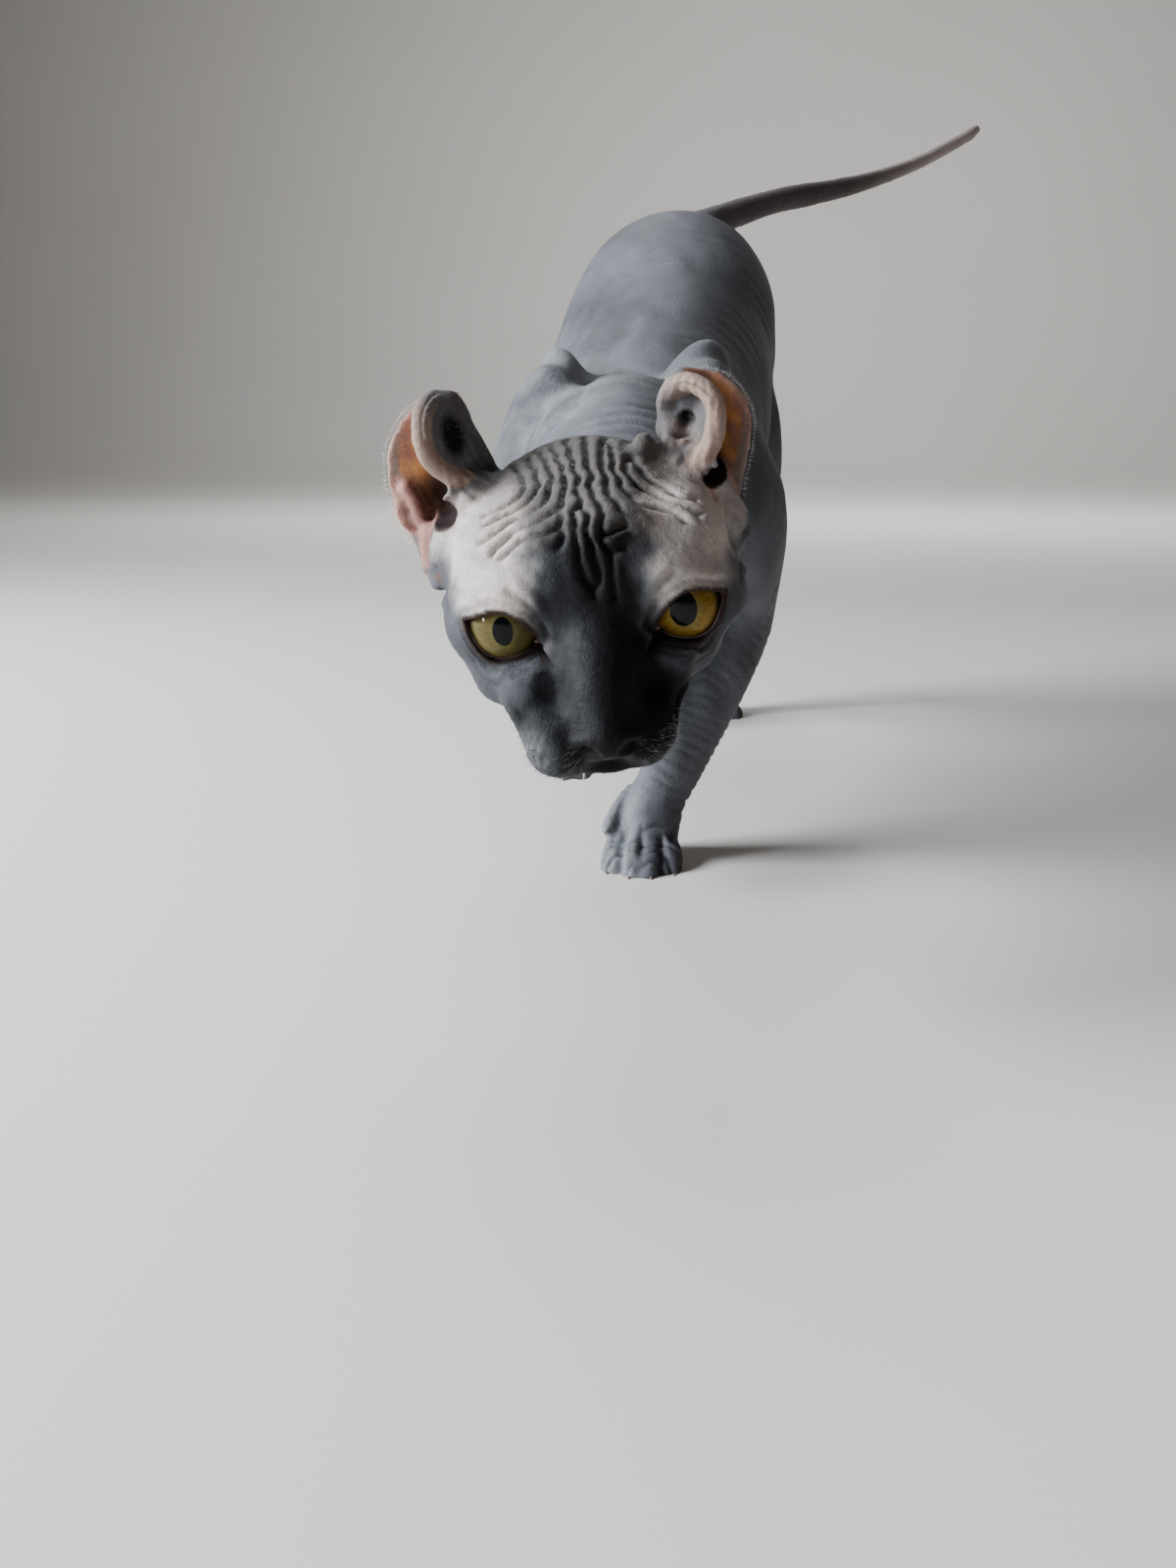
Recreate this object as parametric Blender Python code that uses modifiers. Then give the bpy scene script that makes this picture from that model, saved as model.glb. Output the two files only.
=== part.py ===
"""A hairless cat with curled-back ears, life size, in mid-stride with its head held low.

The cat walks towards -Y, and its left side is at +X. Sizes are in millimetres, and MM turns them into metres.
The flesh is built whole from lofts and ellipsoids, fused, smoothed and thinned, and then parted by thin cuts.
"""

import math

import bmesh
import bpy
import numpy as np
from mathutils import Matrix, Vector

MM = 0.001
GAP = 0.3
VOXEL = 1.5

# The head's own frame has its origin midway between the eyeballs, -Y out of the nose and +Z out of the crown.
HEAD_AT = Vector((7.6, -241.0, 112.0))
HEAD_YAW, HEAD_PITCH, HEAD_ROLL = 10.5, 22.0, -7.0

EYE_APART = 21.4
EYE_RADIUS = 10.6
EYE_OUTWARD = -2.0
LID_THICK = 1.4
LID_WIDE, LID_HIGH = 19.4, 12.2
LID_SLANT = 23.5

# Each ear stands up, then rolls back over its crest. For each side: where its root is, how far its cup
# opens outwards in degrees, how high it stands, the radius of its roll and the half width of its cup.
EARS = {
    "right": ((-39.0, 33.0, 8.5), 52.0, 22.5, 9.6, 9.0),
    "left": ((36.0, 33.5, 9.5), 64.0, 18.0, 11.2, 10.0),
}
EAR_BEND = 205.0
EAR_THICK = 1.9

SOLE_DEPTH = 1.5
TOE_SPREAD = 7.4

BODY_TARGET = 5000
HEAD_TARGET = 3000

SKIN = ("Skin", (0.16, 0.16, 0.17, 1.0), 0.5)
EAR_SKIN = ("Ear skin", (0.42, 0.26, 0.21, 1.0), 0.5)
EYE_GLASS = ("Eye", (0.42, 0.33, 0.05, 1.0), 0.08)


def clear_scene():
    """Removes every object of the open scene."""
    for obj in list(bpy.data.objects):
        bpy.data.objects.remove(obj, do_unlink=True)


def new_collection(name):
    """A new collection under the scene's own."""
    collection = bpy.data.collections.new(name)
    bpy.context.scene.collection.children.link(collection)
    return collection


def material(name, colour, roughness):
    """The material of that name, made on first use."""
    found = bpy.data.materials.get(name)
    if found is None:
        found = bpy.data.materials.new(name)
        found.use_nodes = True
        shader = found.node_tree.nodes["Principled BSDF"]
        shader.inputs["Base Color"].default_value = colour
        shader.inputs["Roughness"].default_value = roughness
    return found


def from_bmesh(name, mesh_data, collection):
    """Makes an object from a bmesh in millimetres, with its faces turned outwards."""
    bmesh.ops.recalc_face_normals(mesh_data, faces=mesh_data.faces)
    bmesh.ops.scale(mesh_data, vec=(MM, MM, MM), verts=mesh_data.verts)
    mesh = bpy.data.meshes.new(name)
    mesh_data.to_mesh(mesh)
    mesh_data.free()
    obj = bpy.data.objects.new(name, mesh)
    collection.objects.link(obj)
    return obj


def head_matrix():
    """The head's own frame in the cat's frame."""
    turn = (
        Matrix.Rotation(math.radians(HEAD_YAW), 4, "Z")
        @ Matrix.Rotation(math.radians(HEAD_PITCH), 4, "X")
        @ Matrix.Rotation(math.radians(HEAD_ROLL), 4, "Y")
    )
    return Matrix.Translation(HEAD_AT) @ turn


def ellipsoid(name, centre, radii, collection, frame=None, turn=(0.0, 0.0, 0.0), sides=20, rings=12):
    """A closed ellipsoid, in the cat's frame or in the one given."""
    data = bmesh.new()
    bmesh.ops.create_uvsphere(data, u_segments=sides, v_segments=rings, radius=1.0)
    place = Matrix.Translation(centre)
    for axis, angle in zip("ZXY", (turn[2], turn[0], turn[1])):
        place = place @ Matrix.Rotation(math.radians(angle), 4, axis)
    place = place @ Matrix.Diagonal((*radii, 1.0))
    bmesh.ops.transform(data, matrix=(frame or Matrix.Identity(4)) @ place, verts=data.verts)
    return from_bmesh(name, data, collection)


def section_frame(points, index, side):
    """The lateral axis and the depth axis across a path at one of its points."""
    before = points[max(index - 1, 0)]
    after = points[min(index + 1, len(points) - 1)]
    along = (after - before).normalized()
    lateral = (side - along * side.dot(along)).normalized()
    return along, lateral, lateral.cross(along)


def smooth_stations(stations, steps):
    """Stations between the named ones, on a Catmull-Rom curve through all their numbers."""
    rows = np.array(stations, float)
    padded = np.vstack([2 * rows[0] - rows[1], rows, 2 * rows[-1] - rows[-2]])
    out = []
    for i in range(1, len(padded) - 2):
        a, b, c, d = padded[i - 1 : i + 3]
        for t in np.arange(steps) / steps:
            out.append(0.5 * (2 * b + (c - a) * t + (2 * a - 5 * b + 4 * c - d) * t**2 + (3 * b - a - 3 * c + d) * t**3))
    out.append(padded[-2])
    return np.array(out)


def loft(name, stations, collection, frame=None, sides=24, steps=3, square=2.0, side=(1, 0, 0)):
    """A closed tube through stations of x, y, z, half width and half depth, with rounded ends.

    square is the power of the section's super-ellipse: 2 is an ellipse, and more is boxier.
    """
    rows = smooth_stations(stations, steps)
    points = [Vector(row[:3]) for row in rows]
    data = bmesh.new()
    loops = []
    for i, row in enumerate(rows):
        _, lateral, depth = section_frame(points, i, Vector(side))
        loop = []
        for k in range(sides):
            angle = 2 * math.pi * k / sides
            c, s = math.cos(angle), math.sin(angle)
            across = math.copysign(abs(c) ** (2 / square), c) * row[3]
            deep = math.copysign(abs(s) ** (2 / square), s) * row[4]
            loop.append(data.verts.new(points[i] + lateral * across + depth * deep))
        loops.append(loop)
    for first, second in zip(loops, loops[1:]):
        for k in range(sides):
            data.faces.new((first[k], first[(k + 1) % sides], second[(k + 1) % sides], second[k]))
    for loop, i, sign in ((loops[0], 0, -1.0), (loops[-1], len(points) - 1, 1.0)):
        along, _, _ = section_frame(points, i, Vector(side))
        bulge = 0.6 * min(rows[i][3], rows[i][4])
        pole = data.verts.new(points[i] + along * sign * bulge)
        for k in range(sides):
            data.faces.new((loop[k], loop[(k + 1) % sides], pole))
    if frame is not None:
        bmesh.ops.transform(data, matrix=frame, verts=data.verts)
    return from_bmesh(name, data, collection)


def build_trunk(parts):
    """Chest, belly and rump, with the shoulder blades and haunches that stand out of them."""
    # Each station is x, y, z, half width and half depth; the spine falls from the rump to the withers.
    loft(
        "trunk",
        [
            (-1, -142, 132, 17, 22),
            (-2, -128, 131, 29, 35),
            (-3, -105, 128, 36, 44),
            (-4, -80, 129, 40, 49),
            (-4, -45, 137, 44, 52),
            (-4, -5, 149, 48.5, 55),
            (-4, 30, 166, 51.5, 55),
            (-4, 60, 184, 52, 50),
            (-3, 85, 202, 51.5, 48),
            (-3, 108, 217, 49.5, 46),
            (-3, 128, 222, 43, 47),
            (-3, 141, 221, 35, 40),
            (-3, 150, 219, 25, 30),
            (-3, 155, 218, 14, 18),
        ],
        parts,
        sides=32,
        square=2.15,
    )
    loft(
        "neck_core",
        [
            (6, -218, 116, 25, 23),
            (5, -196, 120, 28, 26),
            (3, -168, 128, 31, 31),
            (1, -140, 134, 33, 35),
            (-2, -112, 136, 34, 40),
        ],
        parts,
        sides=28,
    )
    ellipsoid("blade_left", (19, -91, 160), (13, 26, 31), parts, turn=(-38, 18, 0))
    ellipsoid("blade_right", (-21, -91, 158), (13, 26, 31), parts, turn=(-38, -18, 0))
    ellipsoid("spine_ridge", (-4, 20, 205), (14, 74, 12), parts, turn=(24, 0, 0))
    ellipsoid("haunch_left", (21, 105, 188), (25, 40, 52), parts, turn=(20, 6, 0))
    ellipsoid("haunch_right", (-27, 99, 187), (25, 38, 52), parts, turn=(14, -6, 0))


def build_forelegs(parts):
    """The planted left foreleg under the midline, and the lifted right one."""
    loft(
        "upper_arm_left",
        [
            (25, -98, 166, 12, 22),
            (31, -112, 148, 16, 24),
            (36, -110, 130, 18, 24),
            (38, -92, 112, 16, 21),
            (38, -74, 100, 14.5, 18),
            (36, -76, 86, 14.5, 16),
            (31, -85, 72, 13.5, 14),
            (23.5, -93, 53, 12, 12.5),
            (15.5, -100, 36, 11, 11),
            (10.5, -103, 25, 11, 10.5),
            (8.5, -105, 15, 12, 10),
        ],
        parts,
        sides=20,
    )
    loft(
        "upper_arm_right",
        [
            (-26, -98, 164, 12, 22),
            (-30, -114, 146, 15, 24),
            (-34, -112, 130, 16, 23),
            (-36, -94, 114, 14.5, 20),
            (-36, -82, 102, 13, 16),
            (-32, -92, 94, 12, 14.5),
            (-27, -103, 87, 11, 12.5),
            (-22, -113, 81, 10.4, 11),
            (-18, -120, 75, 10, 10),
            (-16, -126, 67, 10.5, 9.5),
        ],
        parts,
        sides=20,
    )


def build_hindlegs(parts):
    """The left hind leg trails and pushes off, and the right one stands further forward."""
    loft(
        "leg_hind_left",
        [
            (25, 102, 188, 20, 38),
            (34, 92, 160, 19, 36),
            (37, 92, 136, 16, 25),
            (34, 116, 118, 13, 18),
            (29, 146, 100, 10, 13),
            (26, 168, 86, 8.5, 11),
            (25, 174, 72, 8, 9.5),
            (24.5, 170, 50, 8, 8),
            (24, 164, 28, 9, 8),
            (24, 158, 14, 11.5, 9.5),
        ],
        parts,
        sides=20,
    )
    loft(
        "leg_hind_right",
        [
            (-31, 92, 186, 20, 38),
            (-40, 70, 162, 18, 35),
            (-42, 62, 142, 15.5, 25),
            (-38, 82, 122, 13, 18),
            (-33, 106, 102, 10, 13),
            (-29, 124, 86, 8.5, 11),
            (-27, 128, 72, 8, 9.5),
            (-25.5, 118, 50, 8, 8),
            (-23.5, 104, 28, 9, 8),
            (-22, 94, 14, 11.5, 9.5),
        ],
        parts,
        sides=20,
    )
    ellipsoid("heel_left", (25.5, 182, 82), (6, 7, 10), parts, turn=(-20, 0, 0))
    ellipsoid("heel_right", (-28, 136, 81), (6, 7, 10), parts, turn=(-28, 0, 0))


def build_paw(name, at, heading, pitch, parts, size=1.0, thumb=0):
    """Four toes over their pads in front of the sole, each toe arched and ending in a rounded tip.

    at is the middle of the sole, heading turns the paw about Z, and pitch drops its toes.
    """
    frame = (
        Matrix.Translation(at)
        @ Matrix.Rotation(math.radians(heading), 4, "Z")
        @ Matrix.Rotation(math.radians(pitch), 4, "X")
        @ Matrix.Scale(size, 4)
    )
    ellipsoid(name + "_palm", (0, 3, 9), (12.4, 13, 9.5), parts, frame)
    ellipsoid(name + "_pad", (0, 2, 3.6), (9.5, 8.5, 5), parts, frame)
    for step, ahead in ((-1.5, -7.5), (-0.5, -12), (0.5, -12), (1.5, -7.5)):
        across = step * TOE_SPREAD
        splay = -step * 6
        ellipsoid(
            f"{name}_toe{step}", (across * 0.98, ahead, 8.3), (4.4, 9.0, 6.4), parts, frame, (24, 0, splay), 14, 10
        )
        ellipsoid(
            f"{name}_tip{step}", (across * 1.04, ahead - 6.2, 4.6), (3.8, 5.4, 4.6), parts, frame, (10, 0, splay), 14, 10
        )
    if thumb:
        ellipsoid(name + "_thumb", (thumb * 11.5, 3.5, 16), (3.2, 4.2, 8.5), parts, frame, (20, thumb * 12, 0), 14, 10)


def build_tail(parts):
    """A thin whip of a tail, carried up and out to the left side."""
    loft(
        "tail_whip",
        [
            (-1, 120, 252, 12, 12),
            (8, 134, 262, 9.5, 9.5),
            (22, 152, 271, 7.6, 7.6),
            (46, 180, 283, 6.8, 6.8),
            (66, 206, 291, 6.2, 6.2),
            (88, 232, 300, 5.4, 5.4),
            (108, 256, 310, 4.7, 4.7),
            (127, 280, 321, 4.2, 4.2),
            (147, 300, 334, 3.9, 3.9),
            (167, 318, 348, 3.5, 3.5),
        ],
        parts,
        sides=14,
    )


def build_head(parts, frame):
    """The skull's masses under the skin: cranium, cheekbones, muzzle, whisker pads and jaw."""
    shapes = {
        "cranium": ((0, 25, 8), (28.5, 32, 20.2), (8, 0, 0)),
        "forehead": ((0, 6, 8.5), (24, 19, 16.5), (20, 0, 0)),
        "nape": ((0, 42, -5), (26, 22, 21), (0, 0, 0)),
        "stop": ((0, -3, -1), (14.5, 13, 13), (20, 0, 0)),
        "bridge": ((0, -17, -8), (9.8, 18, 10.5), (33, 0, 0)),
        "nose_tip": ((0, -31, -16), (7.2, 6.2, 6), (20, 0, 0)),
        "chin": ((0, -20, -29.5), (10, 10.5, 6), (0, 0, 0)),
        "jaw": ((0, 0, -24), (17, 27, 10), (-6, 0, 0)),
        "throat": ((0, 28, -16), (25, 26, 18), (0, 0, 0)),
    }
    for name, (centre, radii, turn) in shapes.items():
        ellipsoid(name, centre, radii, parts, frame, turn, 24, 16)
    for side in (-1, 1):
        paired = {
            "cheekbone": ((side * 25, 15, -4), (12.6, 22, 13), (0, 0, side * 10)),
            "temple": ((side * 20, 16, 7), (14, 21, 14.5), (0, 0, 0)),
            "brow": ((side * 17, -1.5, 8.5), (12.5, 10, 8), (20, side * 20, 0)),
            "socket": ((side * EYE_APART, 1.4, -1), (13, 10.6, 12.4), (0, 0, 0)),
            "jowl": ((side * 20, 20, -17), (12.5, 19, 13), (0, 0, side * 8)),
            "cheek_side": ((side * 21.5, 2, -12.5), (10.5, 15, 10.5), (0, 0, side * 12)),
            "cheek_front": ((side * 15, -8, -12.5), (11, 15, 11), (0, 0, side * 14)),
            "pad": ((side * 10, -22, -20), (10.4, 12, 9.8), (0, 0, side * 16)),
            "ear_root": ((side * 28, 36, 9), (11.5, 12, 12.5), (0, 0, 0)),
            "ear_low": ((side * 35, 28, 3), (6.5, 8, 9), (0, side * 12, 0)),
            "ear_front": ((side * 27, 31, 17), (8, 6, 9), (0, side * 30, 0)),
        }
        for name, (centre, radii, turn) in paired.items():
            ellipsoid(f"{name}{side}", centre, radii, parts, frame, turn, 22, 14)


def fuse(parts, name):
    """Unites all the closed pieces of a collection and removes them."""
    pieces = list(parts.objects)
    whole = pieces[0]
    parts.objects.unlink(whole)
    bpy.context.scene.collection.objects.link(whole)
    union = whole.modifiers.new("union", "BOOLEAN")
    union.operation = "UNION"
    union.operand_type = "COLLECTION"
    union.collection = parts
    union.solver = "MANIFOLD"
    apply_modifiers(whole)
    for piece in pieces[1:]:
        bpy.data.objects.remove(piece, do_unlink=True)
    whole.name = name
    return whole


def apply_modifiers(obj):
    """Replaces an object's mesh by what its modifiers make of it."""
    graph = bpy.context.evaluated_depsgraph_get()
    mesh = bpy.data.meshes.new_from_object(obj.evaluated_get(graph))
    obj.modifiers.clear()
    old = obj.data
    obj.data = mesh
    bpy.data.meshes.remove(old)


def points_of(obj):
    """The vertices of a mesh in millimetres."""
    flat = np.empty(len(obj.data.vertices) * 3)
    obj.data.vertices.foreach_get("co", flat)
    return flat.reshape(-1, 3) / MM


def set_points(obj, points):
    """Writes vertices given in millimetres back to the mesh."""
    obj.data.vertices.foreach_set("co", (points * MM).ravel())
    obj.data.update()


def in_head(points, frame):
    """Points of the cat's frame in the head's own."""
    inverse = np.array(frame.inverted())
    return points @ inverse[:3, :3].T + inverse[:3, 3]


def head_share(points, frame):
    """1 in front of the neck cut, 0 well behind it, and between the two in a band."""
    local = in_head(points, frame)
    return np.clip((56 - local[:, 1]) / 4, 0, 1) * np.clip((local[:, 2] + 52) / 6, 0, 1)


def weight_group(obj, name, weights):
    """A vertex group of that name holding one weight for each vertex."""
    group = obj.vertex_groups.new(name=name)
    for level in np.unique(np.round(weights, 2)):
        chosen = np.nonzero(np.round(weights, 2) == level)[0].tolist()
        if level > 0:
            group.add(chosen, float(level), "REPLACE")
    return group


def smooth(obj, weights, rounds):
    """Relaxes the mesh where the weights say."""
    weight_group(obj, "soft", weights)
    relax = obj.modifiers.new("relax", "SMOOTH")
    relax.factor = 0.5
    relax.iterations = rounds
    relax.vertex_group = "soft"
    apply_modifiers(obj)
    obj.vertex_groups.clear()


def remesh(obj, voxel):
    """Rebuilds the surface in even quads."""
    even = obj.modifiers.new("even", "REMESH")
    even.mode = "VOXEL"
    even.voxel_size = voxel * MM
    apply_modifiers(obj)


def push(points, centre, radius, move):
    """Moves the points near a centre, most in its middle, as a thumb does in clay."""
    offset = (points - np.array(centre, float)) / np.array(radius, float)
    share = np.clip(1 - (offset**2).sum(1), 0, 1) ** 2
    return points + share[:, None] * np.array(move, float)


def model_head(points, frame):
    """Presses the whisker break, the eye hollows and the nose's stop into the head."""
    local = in_head(points, frame)
    for side in (-1, 1):
        local = push(local, (side * 21.5, -13, -15), (8, 8, 14), (-side * 1.6, 1.4, 0))
        local = push(local, (side * 11.5, -22, -9), (6, 9, 7), (-side * 1.4, 1.2, -1.4))
        local = push(local, (side * 8.5, -34, -11), (4, 6, 5), (-side * 1.2, 1.6, 0))
    local = push(local, (0, -36, -23), (2.6, 7, 7), (0, 2.0, 0))
    local = push(local, (0, -9, 12), (9, 10, 9), (0, 1.2, -1.2))
    turned = np.array(frame)
    return local @ turned[:3, :3].T + turned[:3, 3]


def model_body(points):
    """Presses in the hollows behind the shoulder blades, between them, at the flank and at the armpits."""
    points = push(points, (-4, -70, 190), (50, 20, 26), (0, 0, -4))
    points = push(points, (-2, -92, 192), (9, 30, 22), (0, 0, -6))
    for side in (-1, 1):
        points = push(points, (side * 48, 62, 172), (16, 24, 30), (-side * 5, 0, 0))
        points = push(points, (side * 46, -40, 140), (16, 22, 34), (-side * 4, 0, 0))
    return points


def thin(obj, frame):
    """Thins the body first and then the whole, so that the head keeps more of its faces."""
    share = head_share(points_of(obj), frame)
    faces = len(obj.data.polygons) * 2
    head_faces = faces * float(share.mean())
    for name, weights, target in (
        ("body", 1 - share, head_faces + BODY_TARGET),
        ("head", share, BODY_TARGET + HEAD_TARGET),
    ):
        weights = share if name == "head" else weights
        weight_group(obj, name, weights)
        collapse = obj.modifiers.new("thin", "DECIMATE")
        collapse.ratio = min(1.0, target / faces)
        collapse.vertex_group = name
        apply_modifiers(obj)
        obj.vertex_groups.clear()
        faces = sum(len(p.vertices) - 2 for p in obj.data.polygons)
        share = head_share(points_of(obj), frame)


def open_edges(obj):
    """How many edges of a mesh don't join exactly two faces."""
    data = bmesh.new()
    data.from_mesh(obj.data)
    count = sum(1 for edge in data.edges if not edge.is_manifold)
    data.free()
    return count


def boolean(obj, other, operation, solver="MANIFOLD"):
    """Cuts or joins another closed mesh and removes it."""
    cut = obj.modifiers.new(operation.lower(), "BOOLEAN")
    cut.operation = operation
    cut.object = other
    cut.solver = solver
    before = open_edges(obj), open_edges(other)
    apply_modifiers(obj)
    if open_edges(obj) or any(before):
        raise RuntimeError(f"{operation} with {other.name} left {obj.name} open: {before}, {open_edges(obj)}")
    bpy.data.objects.remove(other, do_unlink=True)


def eye_frame(frame, side):
    """An eyeball's own frame: its origin at the middle, -Y along the gaze, turned by the lids' slant."""
    return (
        frame
        @ Matrix.Translation((side * EYE_APART, 0, 0))
        @ Matrix.Rotation(math.radians(side * EYE_OUTWARD), 4, "Z")
        @ Matrix.Rotation(math.radians(-side * LID_SLANT), 4, "Y")
    )


def almond(name, frame, collection, side):
    """A prism with the outline of the open eye, sharp at the inner corner, that runs forward from the eyeball."""
    data = bmesh.new()
    steps = 12
    upper, lower = [], []
    for k in range(steps + 1):
        t = 0.5 - 0.5 * math.cos(math.pi * k / steps)
        across = side * (t - 0.5) * LID_WIDE
        rise = math.sin(math.pi * t**1.25) * LID_HIGH / 2
        upper.append((across, rise * 0.95))
        lower.append((across, -rise * 1.05))
    outline = upper + lower[-2:0:-1]
    near = [data.verts.new((x, -2, z)) for x, z in outline]
    far = [data.verts.new((x * 1.12, -20, z * 1.12)) for x, z in outline]
    data.faces.new(near)
    data.faces.new(far[::-1])
    for k in range(len(near)):
        n = (k + 1) % len(near)
        data.faces.new((near[k], near[n], far[n], far[k]))
    bmesh.ops.transform(data, matrix=frame, verts=data.verts)
    return from_bmesh(name, data, collection)


def make_eyes(whole, frame, nodes, scratch):
    """Raises the lids, opens them, and seats an eyeball with its cornea behind each."""
    for side, name in ((-1, "eye_right"), (1, "eye_left")):
        own = eye_frame(frame, side)
        shell = EYE_RADIUS + LID_THICK
        lids = ellipsoid("lids", (0, 0, 0), (shell, shell, shell), scratch, own, sides=22, rings=14)
        boolean(whole, lids, "UNION")
        room = EYE_RADIUS + GAP
        socket = ellipsoid("socket", (0, 0, 0), (room, room, room), scratch, own, sides=20, rings=12)
        opening = almond("opening", own, scratch, side)
        boolean(socket, opening, "UNION")
        boolean(whole, socket, "DIFFERENCE")
        ball = ellipsoid(name, (0, 0, 0), (EYE_RADIUS,) * 3, nodes, own, (90, 0, 0), 16, 10)
        ball.data.materials.append(material(*EYE_GLASS))


def tube(name, points, radius, collection, sides=6):
    """A closed thin tube through points."""
    stations = [(*point, radius, radius) for point in points]
    return loft(name, stations, collection, None, sides, 3, 2.0, (0, 0.2, 1))


def make_mouth(whole, frame, scratch):
    """Cuts the line of the mouth, the groove under the nose and the two nostrils."""
    half = [(0, -33, -26), (5, -32.5, -28), (11, -28, -28.4), (16, -20, -26.4), (19, -10, -23)]
    line = [(-x, y, z) for x, y, z in half[:0:-1]] + half
    inverse = in_head(points_of(whole), frame)
    snapped = []
    for point in line:
        near = np.argsort(((inverse - np.array(point)) ** 2).sum(1))[:3]
        snapped.append(inverse[near].mean(0))
    turned = np.array(frame)
    route = [turned[:3, :3] @ point + turned[:3, 3] for point in snapped]
    boolean(whole, tube("mouth_line", route, 0.8, scratch), "DIFFERENCE")
    for side in (-1, 1):
        nostril = ellipsoid(
            "nostril", (side * 4.3, -35.6, -17.2), (2.0, 3.6, 1.5), scratch, frame, (0, side * 35, 0), 12, 8
        )
        boolean(whole, nostril, "DIFFERENCE")


def ear_point(up, across, stand, roll, half):
    """A point on the middle of an ear's wall, before the ear is turned into its place.

    up runs from 0 at the root to 1 at the tip, across from -1 on the front edge to 1 on the rear one.
    The cup opens towards -Y. Its two edges follow a path that stands up and then rolls over backwards.
    """
    length = stand + roll * math.radians(EAR_BEND)
    along = up * length
    bend = max(along - stand, 0.0) / roll
    back = roll * (1 - math.cos(bend))
    rise = min(along, stand) + roll * math.sin(bend)
    rolled = max(along - stand, 0.0) / (length - stand)
    root = max(1 - along / stand, 0.0)
    wide = half + 2.2 * math.sin(math.pi * min(up * 1.6, 1.0)) - 5.0 * rolled * rolled
    deep = 12.0 + 4.0 * root - 9.0 * rolled**0.8
    spread = math.radians(105 + 12 * root - 25 * rolled)
    angle = across * spread
    side = wide * math.sin(angle) / math.sin(min(spread, math.pi / 2))
    inset = deep * (math.cos(angle) - math.cos(spread)) / (1 - math.cos(spread))
    point = Vector((side, back + inset * math.cos(bend), rise - inset * math.sin(bend)))
    if across > 0:
        point.z -= 3.0 * across
        point += Vector((-3.0, -7.0, -14.0)) * (across * max(1 - along / 20, 0.0) ** 2)
    else:
        point += Vector((-4.0, 7.0, 2.0)) * (across * across * max(1 - along / 14, 0.0) ** 2)
    return point


def make_ear(name, side, frame, scratch):
    """One pinna: a rolled sheet given its thickness, thicker along the front edge, on a root in the skull."""
    root, turn, stand, roll, half = EARS["left" if side > 0 else "right"]
    steps_up, steps_across = 16, 12
    data = bmesh.new()
    grid = []
    for i in range(steps_up + 1):
        up = i / steps_up
        narrow = math.sqrt(max(1 - (max(up - 0.7, 0) / 0.3) ** 2 * 0.9, 0.0))
        row = []
        for j in range(steps_across + 1):
            point = ear_point(up, narrow * (2 * j / steps_across - 1), stand, roll, half)
            row.append(data.verts.new((point.x * side, point.y, point.z)))
        grid.append(row)
    for lower, upper in zip(grid, grid[1:]):
        for j in range(steps_across):
            data.faces.new((lower[j], lower[j + 1], upper[j + 1], upper[j]))
    place = (
        frame
        @ Matrix.Translation(root)
        @ Matrix.Rotation(math.radians(side * 14), 4, "Y")
        @ Matrix.Rotation(math.radians(side * turn), 4, "Z")
    )
    bmesh.ops.transform(data, matrix=place, verts=data.verts)
    ear = from_bmesh(name, data, scratch)
    wall = ear.modifiers.new("wall", "SOLIDIFY")
    wall.thickness = EAR_THICK * MM
    wall.offset = 0
    soft = ear.modifiers.new("soft", "SUBSURF")
    soft.levels = soft.render_levels = 1
    fewer = ear.modifiers.new("fewer", "DECIMATE")
    fewer.ratio = 0.22
    apply_modifiers(ear)
    return ear


def block(name, frame, low, high, scratch):
    """A box between two corners of a frame."""
    data = bmesh.new()
    bmesh.ops.create_cube(data, size=1.0)
    low, high = Vector(low), Vector(high)
    place = Matrix.Translation((low + high) / 2) @ Matrix.Diagonal((*(high - low), 1.0))
    bmesh.ops.transform(data, matrix=frame @ place, verts=data.verts)
    return from_bmesh(name, data, scratch)


def largest_only(obj):
    """Keeps an object's largest closed surface."""
    data = bmesh.new()
    data.from_mesh(obj.data)
    unseen = set(data.faces)
    shells = []
    while unseen:
        stack = [unseen.pop()]
        shell = set(stack)
        while stack:
            for edge in stack.pop().edges:
                for face in edge.link_faces:
                    if face in unseen:
                        unseen.discard(face)
                        shell.add(face)
                        stack.append(face)
        shells.append(shell)
    keep = max(shells, key=lambda shell: sum(face.calc_area() for face in shell))
    loose = [face for shell in shells if shell is not keep for face in shell]
    bmesh.ops.delete(data, geom=loose, context="FACES")
    data.to_mesh(obj.data)
    data.free()


def part_off(whole, name, frame, low, high, nodes, scratch, look=SKIN):
    """Moves what lies in a box of the whole into a node of its own, leaving the thin gap at the box's faces."""
    node = whole.copy()
    node.data = whole.data.copy()
    node.name = name
    node.data.name = name
    nodes.objects.link(node)
    boolean(node, block("claim", frame, low, high, scratch), "INTERSECT")
    largest_only(node)
    grown = [value - GAP for value in low], [value + GAP for value in high]
    boolean(whole, block("rest", frame, *grown, scratch), "DIFFERENCE")
    node.data.materials.clear()
    node.data.materials.append(material(*look))
    return node


def plane_frame(at, toward):
    """A frame whose +Z points along toward and whose +X lies as near as it can to the cat's left."""
    along = Vector(toward).normalized()
    left = (Vector((1, 0, 0)) - along * along.x).normalized()
    turn = Matrix((left, along.cross(left), along)).transposed()
    return Matrix.Translation(at) @ turn.to_4x4()


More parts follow.
